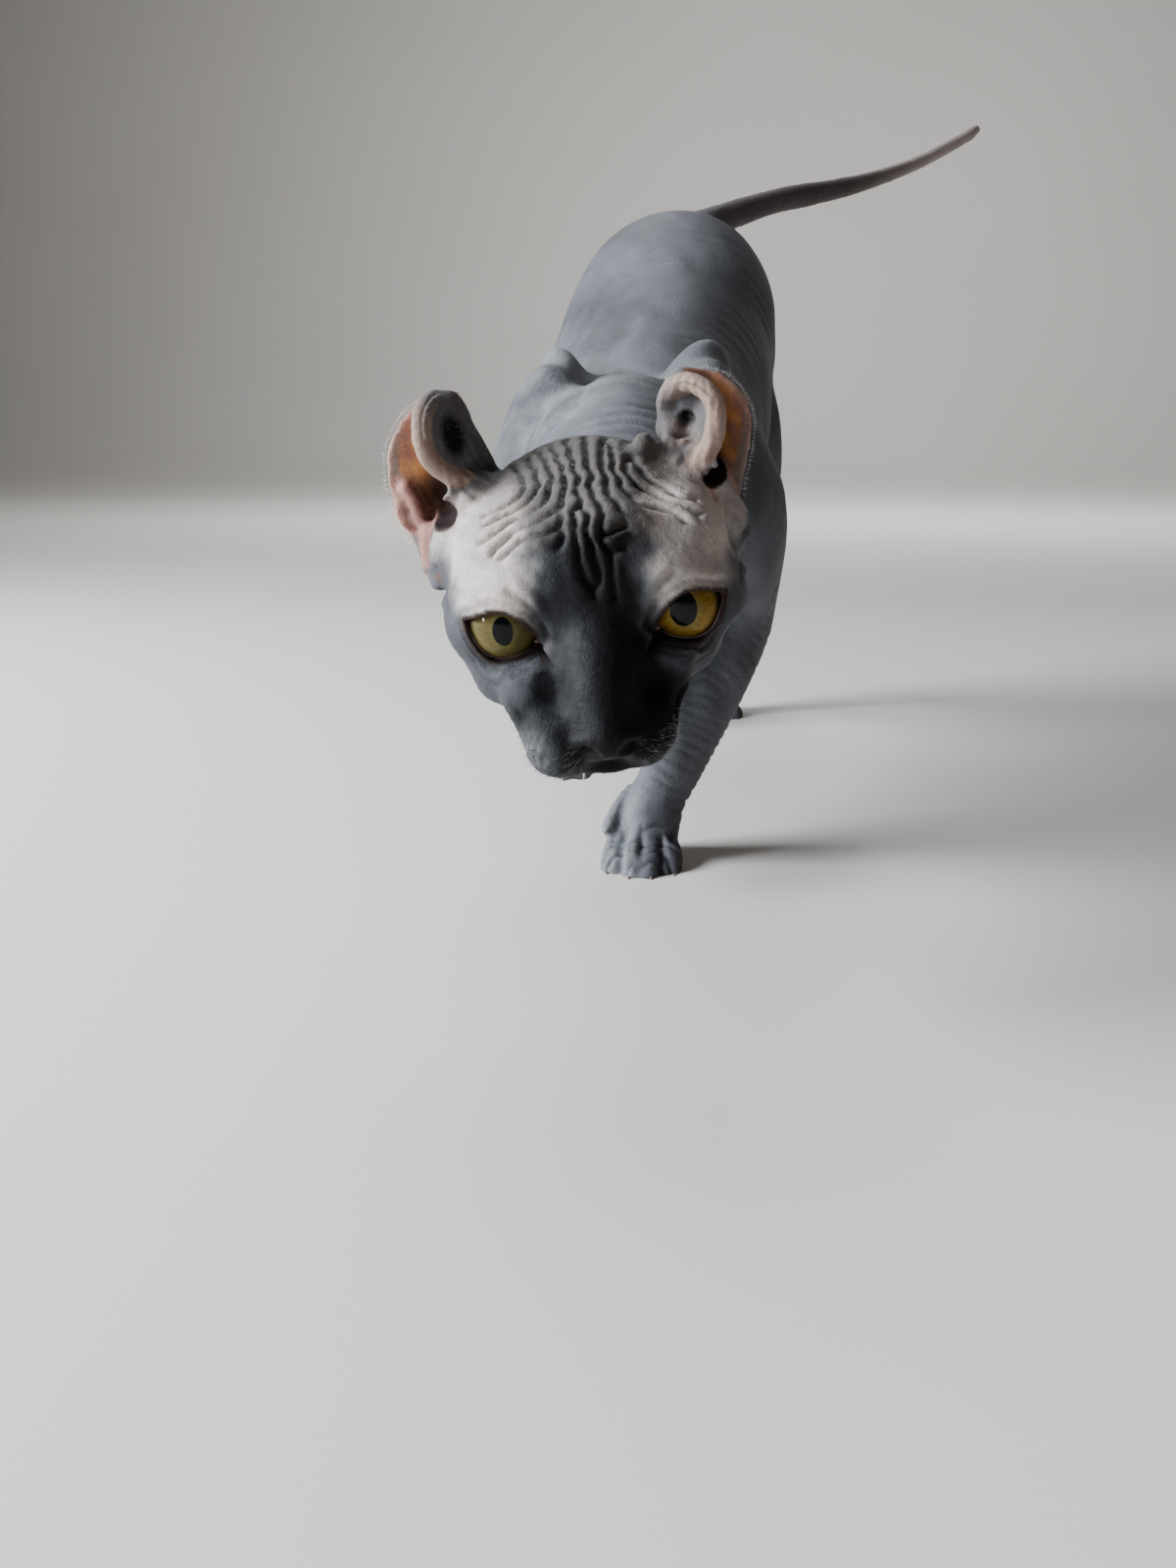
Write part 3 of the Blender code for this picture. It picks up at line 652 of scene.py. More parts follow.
EARS = (
    Ear(
        Side.RIGHT,
        front=((-25.5, 31.0, 21.0), (-31.0, 29.0, 24.0), (-34.6, 27.0, 27.8), (-36.6, 26.6, 31.8),
        (-37.2, 28.0, 36.2), (-36.6, 31.2, 39.8), (-34.6, 36.0, 41.4), (-32.6, 41.0, 40.0),
        (-31.6, 44.5, 36.0), (-32.0, 43.5, 31.5)),
        back=((-22.0, 43.0, 6.0), (-23.0, 43.5, 15.0), (-24.2, 42.0, 22.5), (-26.0, 41.5, 27.5),
        (-27.6, 41.8, 32.0), (-28.6, 42.6, 35.6), (-29.4, 44.4, 38.0), (-30.0, 48.0, 38.6),
        (-30.6, 51.0, 35.6), (-31.5, 50.5, 31.0)),
        rim=((-33.0, 38.0, -8.0), (-43.0, 36.0, 0.5), (-48.2, 39.6, 9.4), (-50.0, 42.0, 16.2),
        (-50.0, 43.6, 22.8), (-48.4, 44.2, 28.6), (-45.0, 44.6, 33.6), (-41.0, 46.0, 37.0),
        (-37.6, 49.5, 36.6), (-35.5, 50.0, 32.0)),
        edge=2.4,
        folds=(
            (
                ((-47.0, 41.5, 19.5), (-44.4, 40.5, 16.6), (-43.4, 39.5, 12.5), (-43.2, 38.0, 8.5)),
                1.9,
            ),
            (((-47.8, 40.8, 15.5), (-48.0, 40.0, 12.0), (-46.6, 38.6, 8.0)), 1.7),
            (
                ((-40.6, 37.5, 10.0), (-41.0, 35.5, 5.0), (-41.6, 33.5, 1.0), (-40.6, 31.0, -2.5)),
                2.9,
            ),
            (((-33.0, 40.0, 40.6), (-29.8, 40.6, 39.6), (-28.2, 40.4, 36.2), (-27.0, 39.4, 32.2),
            (-25.4, 39.4, 27.8), (-23.6, 39.6, 22.5), (-22.4, 39.0, 17.5)), 2.5),
        ),
        lumps=(
            ((-28.4, 26.6, 18.8), (3.1, 3.2, 3.2)),
            ((-35.0, 30.0, 10.4), (3.6, 5.0, 4.4)),
            ((-39.6, 28.4, -2.6), (3.0, 4.0, 2.6)),
            ((-40.0, 35.5, -2.0), (4.0, 5.5, 4.5)),
            ((-29.0, 43.0, 4.0), (7.0, 9.0, 10.0)),
            ((-33.0, 37.6, 38.8), (4.4, 4.6, 3.7)),
        ),
        canal=((-36.4, 32.4, 16.8), (6.2, 9.5, 5.8)),
        pink=3,
        fade=(0.70, 0.44),
        dark=((-30.4, 33.4, 32.6), (4.4, 6.5, 8.0)),
    ),
    Ear(
        Side.LEFT,
        front=((22.5, 30.5, 17.5), (28.6, 27.0, 21.8), (32.2, 25.4, 26.8), (33.4, 25.2, 31.4),
        (33.4, 26.2, 35.6), (31.6, 28.6, 38.6), (27.8, 32.0, 39.8), (24.2, 35.2, 37.8),
        (22.4, 38.0, 33.4), (22.8, 39.5, 28.6)),
        back=((20.0, 41.0, 4.0), (22.5, 43.0, 13.0), (24.8, 43.5, 21.5), (27.2, 43.0, 27.0),
        (29.5, 43.4, 31.6), (30.2, 44.6, 35.6), (28.6, 46.4, 38.0), (26.0, 47.6, 37.0),
        (24.4, 47.8, 33.0), (24.2, 46.8, 28.5)),
        rim=((30.0, 34.0, -5.0), (38.0, 32.0, 5.5), (41.2, 36.6, 12.8), (43.4, 40.2, 18.4),
        (44.3, 42.0, 24.0), (43.4, 43.4, 29.4), (40.6, 45.0, 33.8), (36.6, 47.6, 36.4),
        (31.4, 50.4, 36.2), (28.0, 51.0, 32.0)),
        edge=2.7,
        folds=(
            (((30.0, 26.5, 18.8), (30.0, 25.0, 15.8), (30.6, 23.5, 12.4)), 1.6),
            (((35.6, 33.5, 14.5), (36.6, 31.0, 9.5), (37.2, 28.5, 4.5)), 2.2),
            (((26.0, 31.0, 26.4), (23.4, 27.8, 22.6), (20.4, 25.6, 19.0), (18.6, 24.6, 16.6)), 2.0),
            (((23.4, 33.0, 28.0), (20.8, 29.8, 24.4), (18.2, 27.4, 21.0)), 2.0),
            (((16.8, 32.0, 28.4), (16.2, 30.4, 27.4), (15.2, 29.4, 25.0), (14.2, 28.4, 22.4),
            (13.5, 27.4, 20.4)), 3.1),
            (((27.6, 36.0, 37.5), (28.4, 36.0, 33.5), (28.4, 35.5, 29.0)), 3.6),
        ),
        lumps=(
            ((25.0, 25.6, 18.8), (2.6, 2.8, 3.0)),
            ((23.4, 36.6, 27.6), (4.4, 4.6, 4.6)),
            ((37.8, 31.0, 1.5), (3.4, 5.5, 5.0)),
            ((27.0, 41.0, 2.0), (7.5, 9.5, 11.0)),
        ),
        canal=((32.0, 31.0, 19.2), (4.8, 8.0, 4.6)),
        pink=2,
        fade=(0.95, 0.60),
        dark=((27.1, 33.3, 30.8), (2.8, 4.5, 2.8)),
    ),
)


# ---------------------------------------------------------------- lids


@dataclass(frozen=True)
class Lids:
    """The almond opening of an eye, and the rolls and folds around it."""

    side: Side
    pupil: tuple[float, float]
    gaze: tuple[float, float]
    ball: float = 10.6
    thick: float = 1.4
    wide: float = 19.4
    high: float = 12.2

    def outline(self, radius: float, steps: int = 20) -> np.ndarray:
        """The opening's edge laid on a ball about the eye.

        Args:
            radius: The ball's radius.
            steps: Points along each lid.

        Returns:
            Points in the eye's axes, round the opening.
        """
        upper, lower = [], []
        for k in range(steps + 1):
            t = 0.5 - 0.5 * math.cos(math.pi * k / steps)
            x = self.side.value * (t - 0.5) * self.wide
            rise = math.sin(math.pi * t**1.25) * self.high / 2
            upper.append((x, rise * 0.95))
            lower.append((x, -rise * 1.05))
        wider = 1 + 0.035 * (radius - self.ball)
        ring = []
        for x, z in upper + lower[-2:0:-1]:
            x, z = x * wider, z * wider
            ring.append((x, -math.sqrt(max(radius**2 - x * x - z * z, 1.0)), z))
        return np.array(ring)

    def cutter(self) -> Piece:
        """The room behind the lids and the opening in front of it, as one closed cutter.

        Returns:
            The cutter, in the cat's axes.
        """
        near, far = np.array((0, -2.0, 0)), np.array((0, -18.0, 0))
        seat = self.outline(self.ball)
        rings = [
            seat * (0.9, 0.0, 0.9) + near,
            seat,
            self.outline(self.ball + self.thick),
            seat * (1.2, 0.0, 1.2) + far,
        ]
        count = len(seat)
        points = [tuple(point) for point in np.vstack([*rings, near, far])]
        faces = tube(len(rings), count)
        for k in range(count):
            n = (k + 1) % count
            faces += [(4 * count, n, k), (4 * count + 1, 3 * count + k, 3 * count + n)]
        opening = new_piece("opening", points, faces)
        room = globe(self.ball + 0.12, 40, 24)
        face_out(opening)
        combine(room, opening, "UNION")
        room.data.transform(STANCE.eye(self.side))
        return room

    def edge_distance(self, points: np.ndarray) -> tuple[np.ndarray, np.ndarray]:
        """How far points are from the lids' edge, and how far below the eye's middle they are.

        Args:
            points: N by 3 places in the cat's axes.

        Returns:
            The distances, and 0 above the opening to 1 below it.
        """
        own = into(STANCE.eye(self.side), points)
        gap = away_from(own, self.outline(self.ball + self.thick), 9.0, closed=True)
        return gap, ease(1.5, -2.5, own[:, 2])


LIDS = (Lids(Side.RIGHT, (2.25, 3.3), (12.0, 0.0)), Lids(Side.LEFT, (3.0, 4.0), (14.5, 6.0)))


# ---------------------------------------------------------------- sculpting


@dataclass(frozen=True)
class Brow:
    """The folds of the forehead, in the head's axes.

    Each ridge is a line along its crest. A valley runs where two crests are
    equally near, so the folds fork and close as their crests do.
    """

    depth: float = 1.35
    swell: float = 0.35
    ridges: tuple[Line, ...] = (
        ((-4.7, 40, 27.0), (-4.7, 33, 27.9), (-2.8, 22, 27.7), (-2.1, 13.5, 25.8),
        (-2.8, 4.4, 24.7), (-3.7, -1.5, 22.7), (-4.1, -5.2, 20.4), (-4.0, -7.8, 17.5),
        (-3.1, -9.5, 14.0), (-2.6, -11, 10.0)),
        ((0.0, 40, 27.2), (0.0, 33.2, 28.1), (0.2, 22.3, 27.8), (0.8, 15.3, 26.3),
        (0.9, 8.3, 25.1), (2.3, 2.5, 24.3), (2.1, -2.4, 22.4), (2.4, -5.9, 19.9),
        (2.9, -8.2, 16.8), (3.2, -9.8, 13.3), (3.0, -11, 10.0)),
        ((-0.8, 1.1, 24.0), (-0.8, -3.1, 22.1), (-0.3, -6.4, 19.4), (0.1, -8.4, 16.2),
        (0.2, -9.8, 13.0)),
        ((4.2, 40, 27.0), (4.0, 33.1, 27.9), (3.9, 22.8, 27.6), (4.6, 15.8, 26.2),
        (4.0, 10.0, 25.0), (5.2, 4.0, 24.4), (6.1, 0.5, 23.2), (6.1, -2.3, 21.9)),
        ((7.6, 30, 27.2), (6.4, 19.9, 26.9), (7.2, 14.4, 25.4), (7.9, 9.4, 24.3), (9.3, 5.6, 23.6),
        (11.3, 3.4, 22.6), (14.1, 2.7, 21.1), (17.0, 3.5, 19.7), (20.5, 3.4, 18.4)),
        ((10.5, 36, 26.4), (9.1, 28.9, 27.3), (9.7, 20.4, 26.3), (10.2, 14.9, 24.8),
        (11.8, 12.1, 23.4), (14.7, 9.8, 21.9), (17.5, 8.3, 20.7), (20.7, 6.9, 19.8),
        (24.5, 6.0, 17.8)),
        ((12.0, 22, 25.2), (12.5, 16.8, 24.4), (15.1, 14.5, 22.8), (18.3, 12.2, 21.3),
        (21.9, 9.8, 20.3), (25.6, 8.6, 18.6)),
        ((14.5, 24, 24.8), (17.5, 18.5, 22.6), (20.8, 15.4, 21.4), (24.2, 13.0, 20.4)),
        ((6.7, -8.4, 16.4), (6.6, -9.7, 13.9), (6.7, -11.2, 9.9)),
        ((4.1, -6.0, 19.8), (5.7, -6.0, 19.4), (7.5, -4.5, 20.2)),
        ((-9.0, 36, 26.8), (-6.9, 26.9, 27.6), (-5.4, 18.5, 26.8), (-5.6, 11.7, 24.9),
        (-7.2, 6.5, 24.3), (-10.3, 5.0, 23.2), (-14.2, 5.1, 21.6), (-17.2, 5.5, 20.1),
        (-19.6, 4.1, 19.0), (-23, 2.8, 17.0)),
        ((-11.2, 31, 26.4), (-9.8, 25.6, 26.9), (-8.5, 18.8, 26.3), (-8.8, 14.7, 25.1),
        (-10.6, 11.2, 24.0), (-13.4, 9.4, 22.7), (-16.6, 8.8, 21.3), (-19.7, 8.3, 20.6),
        (-22.8, 6.8, 19.2)),
        ((-6.1, 0.4, 23.1), (-7.8, -0.6, 22.1), (-10.8, 0.4, 21.0), (-14.0, 1.6, 19.6),
        (-16.6, 1.6, 18.0), (-19.8, 0.6, 16.5)),
        ((-6.0, -3.5, 21.1), (-8.8, -3.2, 20.3), (-11.8, -2.4, 19.1), (-14.7, -2.0, 17.7),
        (-17.6, -3.0, 15.6)),
        ((-15.0, 31, 25.6), (-13.2, 25.8, 25.9), (-11.9, 18.1, 25.1), (-13.0, 14.4, 24.1),
        (-15.7, 12.6, 22.7), (-18.9, 12.1, 21.6), (-22.0, 11.4, 21.0)),
        ((-18.0, 28.8, 24.2), (-15.8, 23.0, 24.6), (-15.6, 18.2, 24.0), (-18.2, 16.0, 22.6),
        (-21.6, 15.2, 21.6)),
    )

    def gaps(self, local: np.ndarray) -> tuple[np.ndarray, np.ndarray]:
        """How far each point is from the nearest crest and from the next nearest.

        Args:
            local: N by 3 places in the head's axes.

        Returns:
            The two distances.
        """
        level = np.zeros(len(local))
        sway = 0.45 * np.stack([ripple(local, 7.0, 3), ripple(local, 7.0, 4), level], 1)
        first = np.full(len(local), 99.0)
        second = first.copy()
        for ridge in self.ridges:
            gap = away_from(local + sway, rounded(ridge), 6.0)
            second = np.minimum(second, np.maximum(gap, first))
            first = np.minimum(first, gap)
        return first, second

    def height(self, local: np.ndarray) -> np.ndarray:
        """How far the folds raise or sink each point.

        Args:
            local: N by 3 places in the head's axes.

        Returns:
            N heights in millimetres.
        """
        first, second = self.gaps(local)
        near = ease(3.6, 2.2, first)
        valley = bell(second - first, 1.15) * near
        beads = 1 + 0.22 * ripple(local, 3.2, 9)
        front = ease(44, 36, local[:, 1])
        crest = np.clip(1 - (first / 2.6) ** 2, 0, 1)
        return (self.swell * crest * beads - self.depth * valley) * front


@dataclass(frozen=True)
class Crease:
    """A groove or a raised fold along a line."""

    line: Line
    height: float
    width: float
    both: bool = False

    def apply(self, local: np.ndarray) -> np.ndarray:
        """The crease's height at each point, on both sides of the head where both is set.

        Args:
            local: N by 3 places, in the axes of the crease's line.

        Returns:
            The height at each point, in millimetres.
        """
        total = np.zeros(len(local))
        for sign in (1, -1) if self.both else (1,):
            curve = rounded(np.array(self.line) * (sign, 1, 1))
            total += self.height * bell(away_from(local, curve, 8.0), self.width)
        return total


@dataclass(frozen=True)
class Face:
    """The small forms of the face, in the head's axes."""

    brow: Brow = Brow()
    nostril: Line = ((3.6, -36.6, -18.0), (4.6, -35.8, -17.4), (5.6, -34.8, -17.0))
    wing: Line = ((5.4, -34.9, -17.2), (6.9, -33.2, -18.2), (8.0, -31.4, -18.4))
    creases: tuple[Crease, ...] = (
        # the line of the mouth, and the groove under the nose
        Crease(((0, -33.6, -25.6), (5, -32.9, -27.6), (11, -28.4, -28.4), (16, -20.4, -26.6),
        (19, -10.4, -23.2), (20, -4, -20.5)), -1.1, 0.8, True),
        Crease(((0, -36.6, -20.5), (0, -35.2, -23.5), (0, -33.2, -26.2)), -1.0, 0.6),
        # the fold from the brow to the inner corner of each eye
        Crease(((18.5, -9.3, 11.4), (15.8, -10.7, 9.3), (13.9, -11.0, 6.2), (12.9, -10.9, 2.8),
        (11.4, -12.0, 0.2)), -0.8, 1.0, True),
        Crease(((17.0, -9.5, 12.8), (13.4, -11.2, 9.6), (11.4, -12.4, 5.4), (10.6, -13.0, 1.5)),
        0.5, 1.4, True),
        # the edge of the broad bridge of the nose
        Crease(((10.4, -14.4, -3.0), (9.6, -19, -6.6), (8.9, -25, -11.0)), 0.45, 1.8, True),
        # behind the whisker pad
        Crease(((20.8, -19, -11.5), (19.6, -23.2, -14.8), (19.4, -26, -18.5), (18.6, -24.5, -23)),
        -0.9, 1.1, True),
        Crease(((22.6, -16.5, -12.5), (21.6, -20.4, -15.6), (21.3, -22.4, -18.6)), 0.6, 1.3, True),
        # rim of the nose leather
        Crease(((-7.4, -32.4, -15.0), (-4, -35.2, -13.6), (0, -36.4, -13.2), (4, -35.2, -13.6),
        (7.4, -32.4, -15.0)), 0.35, 0.9),
        Crease(((7.6, -32.2, -16.4), (6.6, -33.6, -19.4), (3.6, -35.2, -21.6), (0, -36, -22)),
        -0.35, 0.6, True),
        # folds of the cheek below the ear
        Crease(((39.5, 23.5, 4.4), (38.4, 17, 2.6), (36.5, 9, 2.2), (35, 3, 1.0)), -0.7, 0.9, True),
        Crease(((41.0, 27, 0.4), (39.6, 18, -2.0), (37.4, 9, -3.2)), -0.7, 1.0, True),
        Crease(((40.4, 25, 2.4), (39.2, 18, 0.6), (37.2, 11, -0.4)), 0.7, 1.2, True),
    )

    def nose_and_muzzle(self, local: np.ndarray) -> np.ndarray:
        """The nose leather, the nostrils and the pads that carry the whiskers.

        Args:
            local: N by 3 places in the head's axes.

        Returns:
            N heights in millimetres.
        """
        x, y, z = local.T
        height = 0.3 * mound(local, (0, -36, -17.5), (8, 6, 6))
        height -= 3.4 * ease(6, 17, x) * ease(-3, -14, z) * ease(12, -6, y)
        height -= 3.6 * ease(-26.6, -29.8, z) * ease(17, 9, np.abs(x)) * ease(-8, -18, y)
        cheek = mound(local, (-14.4, -13.5, -12.6), (7, 8, 7))
        height += 1.9 * cheek + 1.2 * mound(local, (14.4, -13.5, -12.6), (7, 8, 7))
        for sign in (-1, 1):
            hole = away_from(local, rounded(np.array(self.nostril) * (sign, 1, 1)), 6)
            slit = away_from(local, rounded(np.array(self.wing) * (sign, 1, 1)), 6)
            height -= 2.3 * bell(hole, 1.25) + 0.9 * bell(slit, 0.8)
            height += 0.5 * mound(local, (sign * 6.4, -34.2, -15.2), (3.2, 3.6, 2.4))
            height += 0.9 * mound(local, (sign * 12.5, -29, -22), (9, 9, 7.5))
            for row in range(4):
                for place in range(5):
                    across = sign * (8.5 + place * 2.5 + 0.5 * (row % 2))
                    dot = (across, -31.4 + place * 2.3, -18.6 - row * 2.1 + place * 0.3)
                    height += 0.16 * mound(local, dot, (1.1, 3.0, 1.0))
        return height

    def ear_folds(self, local: np.ndarray) -> np.ndarray:
        """Folds that fan out from each ear, the temples' fine wrinkles and the rough left cup.

        Args:
            local: N by 3 places in the head's axes.

        Returns:
            N heights in millimetres.
        """
        height = np.zeros(len(local))
        for sign in (-1, 1):
            centre = np.array((sign * 37.5, 34.0))
            flat = local[:, :2] - centre
            away = np.hypot(flat[:, 0], flat[:, 1])
            around = np.arctan2(flat[:, 1], flat[:, 0] * -sign)
            top = ease(2, 9, local[:, 2])
            fan = ease(8.5, 10.5, away) * ease(17.5, 14, away) * top * ease(-1.5, -1.1, around)
            fan *= ease(0.75, 0.35, around)
            height += 0.42 * fan * (np.abs(np.sin(around * 14 + 0.7 * ripple(local, 8, 21))) - 0.5)
            arcs = ease(15, 19, away) * ease(36, 31, away) * top * ease(-1.75, -1.35, around)
            arcs *= ease(-0.35, -0.7, around)
            height += 0.13 * arcs * np.sin(away * 2 * math.pi / 1.7 + 1.2 * ripple(local, 11, 22))
        height += 0.8 * mound(local, (-17.5, 33, 25), (4, 8, 5))
        bump = mound(local, (-42.4, 30.2, -0.2), (3, 5, 2.2))
        height += 1.3 * bump + 1.5 * mound(local, (-38.8, 23.4, -0.2), (3, 5, 2.4))
        height += 0.45 * ripple(local, 3, 23) * mound(local, (23.7, 29, 25.5), (5, 7, 6))
        height -= 1.8 * mound(local, (27.1, 33.3, 30.8), (2.6, 4.5, 2.6))
        return height

    def lids(self, points: np.ndarray) -> np.ndarray:
        """The rolled edge of the lids, the ring fold under the eye and the crease above it.

        Args:
            points: N by 3 places in the cat's axes.

        Returns:
            N heights in millimetres.
        """
        height = np.zeros(len(points))
        for lids in LIDS:
            gap, below = lids.edge_distance(points)
            for share, at, width, rise in (
                (1, 0.9, 0.7, 0.34),
                (below, 2.3, 0.6, -0.8),
                (below, 3.6, 0.9, 0.6),
                (below, 5.3, 0.8, -0.5),
                (1 - below, 2.6, 0.6, -0.35),
                (1 - below, 4.2, 1.2, 0.3),
            ):
                height += share * rise * bell(gap - at, width)
        return height

    def height(self, points: np.ndarray, local: np.ndarray) -> np.ndarray:
        """All the small forms of the face together.

        Args:
            points: N by 3 places in the cat's axes.
            local: The same places in the head's axes.

        Returns:
            N heights in millimetres.
        """
        total = self.brow.height(local) + self.nose_and_muzzle(local)
        total += self.ear_folds(local)
        total += self.lids(points)
        for crease in self.creases:
            total += crease.apply(local)
        fine = ease(-60, -40, local[:, 2]) * ease(60, 40, local[:, 1])
        return total + 0.07 * ripple(local, 2.4, 31) * fine


@dataclass(frozen=True)
class Limb:
    """A stretch of leg or tail whose skin lies in rings across it."""

    line: Line
    reach: float
    spacing: float
    depth: float
    seed: int

    def apply(self, points: np.ndarray) -> np.ndarray:
        """The rings' height at each point, in millimetres.

        Args:
            points: N by 3 places in the cat's axes.

        Returns:
            The height at each point.
        """
        curve = rounded(self.line)
        spans = np.linalg.norm(np.diff(curve, axis=0), axis=1)
        marks = np.concatenate([[0], np.cumsum(spans)])
        best = np.full(len(points), 1e3)
        along = np.zeros(len(points))
        near = close_to(points, curve, self.reach)
        close = points[near]
        gap, where = best[near], along[near]
        for k, (a, b) in enumerate(zip(curve, curve[1:])):
            span = b - a
            t = np.clip((close - a) @ span / (span @ span), 0, 1)
            away = np.linalg.norm(close - a - t[:, None] * span, axis=1)
            closer = away < gap
            gap[closer], where[closer] = away[closer], (marks[k] + t * spans[k])[closer]
        best[near], along[near] = gap, where
        ends = ease(0, 8, along) * ease(marks[-1], marks[-1] - 8, along)
        inside = ease(self.reach, self.reach * 0.75, best) * ends
        wave = along / self.spacing * math.pi + 1.1 * ripple(points, 26, self.seed) + 0.5 * ripple(
            points, 9, self.seed + 1)
        patch = 0.55 + 0.45 * ripple(points, 22, self.seed + 2)
        return -self.depth * inside * np.clip(patch, 0.1, 1) * furrows(wave, 2.2)


@dataclass(frozen=True)
class Body:
    """The folds of the trunk, legs, paws and tail, in the cat's axes."""

    limbs: tuple[Limb, ...] = (
        Limb(((38, -92, 118), (38, -74, 100), (36, -76, 86), (31, -85, 72), (23.5, -93, 53),
        (15.5, -100, 36), (9.5, -104, 20)), 24, 3.7, 1.0, 41),
        Limb(((-36, -94, 118), (-36, -82, 102), (-32, -92, 94), (-27, -103, 87), (-22, -113, 81),
        (-17, -124, 70)), 22, 4.6, 0.9, 44),
        Limb(((34, 116, 118), (29, 146, 100), (25, 174, 78), (24.5, 170, 50), (24, 162, 24)), 20,
        5.0, 0.8, 47),
        Limb(((-38, 82, 122), (-33, 106, 102), (-27, 128, 78), (-25.5, 118, 50), (-23.5, 102, 24)),
        20, 5.0, 0.8, 50),
        Limb(((8, 134, 262), (22, 152, 271), (46, 180, 283), (66, 206, 291), (88, 232, 300),
        (127, 280, 321)), 16, 5.5, 0.45, 53),
    )
    rolls: tuple[tuple[Line, float], ...] = (
        # the dewclaw of the planted foreleg, and the blunt end of the tail
        (
            ((3.0, -100.0, 31.0), (-2.2, -104.5, 25.0), (-5.6, -108.5, 19.0), (-7.2, -110.5, 13.5)),
            2.7,
        ),
        (
            ((88, 232, 300), (108, 256, 310), (127, 280, 321), (147, 300, 334),
             (164.5, 315.8, 346.0)),
            4.3,
        ),
    )
    creases: tuple[Crease, ...] = (
        # the armpits, and the fold in front of each thigh
        Crease(((42, -60, 118), (46, -70, 104), (44, -84, 98)), -1.6, 2.2, True),
        Crease(((50, 62, 150), (46, 48, 138), (36, 38, 128)), -1.6, 3.0),
        Crease(((-52, 34, 150), (-48, 22, 138), (-38, 12, 128)), -1.6, 3.0),
        # wrinkles behind the shoulder blades
        Crease(((-38, -30, 190), (-30, -14, 196), (-16, -8, 199), (-4, -12, 200)), -1.4, 2.0),
        # the hollow between the shoulder blades and the rise beside it
        Crease(
            ((-12.5, -165, 163), (-12.2, -140, 167), (-13.5, -118, 172), (-15, -95, 178)), -1.7, 3.8
        ),
        Crease(((-21, -160, 158), (-21.5, -138, 161.5), (-22, -115, 168)), 0.9, 3.6),
        Crease(((-34, -40, 188), (-26, -26, 194), (-12, -20, 197)), 0.5, 2.2),
    )

    def trunk(self, points: np.ndarray) -> np.ndarray:
        """The slack skin of neck, shoulders, flanks and belly.

        Args:
            points: N by 3 places in the cat's axes.

        Returns:
            N heights in millimetres.
        """
        x, y, z = points.T
        high = ease(105, 130, z)
        neck = ease(-196, -178, y) * ease(-110, -140, y) * high
        rings = y * 0.8 - z * 0.25 + 5 * ripple(points, 60, 61)
        height = -0.9 * neck * furrows(rings / 7.0 * math.pi, 2.4)
        shoulder = ease(-120, -95, y) * ease(-10, -45, y) * ease(120, 150, z)
        slant = y * 0.75 + z * 0.35 - 0.5 * np.abs(x) + 7 * ripple(points, 70, 62)
        patchy = np.clip(0.4 + 0.6 * ripple(points, 45, 63), 0, 1)
        height += -0.55 * shoulder * furrows(slant / 9.0 * math.pi, 2.6) * patchy
        flank = ease(-40, -5, y) * ease(120, 80, y) * ease(132, 150, z)
        hoops = y + 0.25 * z + 6 * ripple(points, 60, 64)
        patchy = np.clip(0.25 + 0.75 * ripple(points, 50, 65), 0, 1)
        height += -0.5 * flank * furrows(hoops / 10.0 * math.pi, 3) * patchy
        belly = ease(-60, -30, y) * ease(95, 60, y) * ease(168, 142, z) * ease(100, 112, z)
        height += -0.9 * belly * furrows((y + 5 * ripple(points, 40, 66)) / 8.0 * math.pi, 2.4)
        groove = 2.0 * bell(x + 15 - 0.06 * (y + 60), 6.5) * ease(-105, -85, y) * ease(-5, -35, y)
        height -= groove * high * ease(150, 165, z)
        spine = bell(x + 13, 9) * ease(-10, 20, y) * ease(135, 110, y) * ease(170, 190, z)
        height -= 0.6 * spine * furrows((y + 2 * ripple(points, 30, 68)) / 9.0 * math.pi, 2)
        return height + 0.25 * ripple(points, 30, 67) * high

    def height(self, points: np.ndarray) -> np.ndarray:
        """All the folds of the body together.

        Args:
            points: N by 3 places in the cat's axes.

        Returns:
            N heights in millimetres.
        """
        total = self.trunk(points)
        for limb in self.limbs:
            total += limb.apply(points)
        for crease in self.creases:
            total += crease.apply(points)
        return total


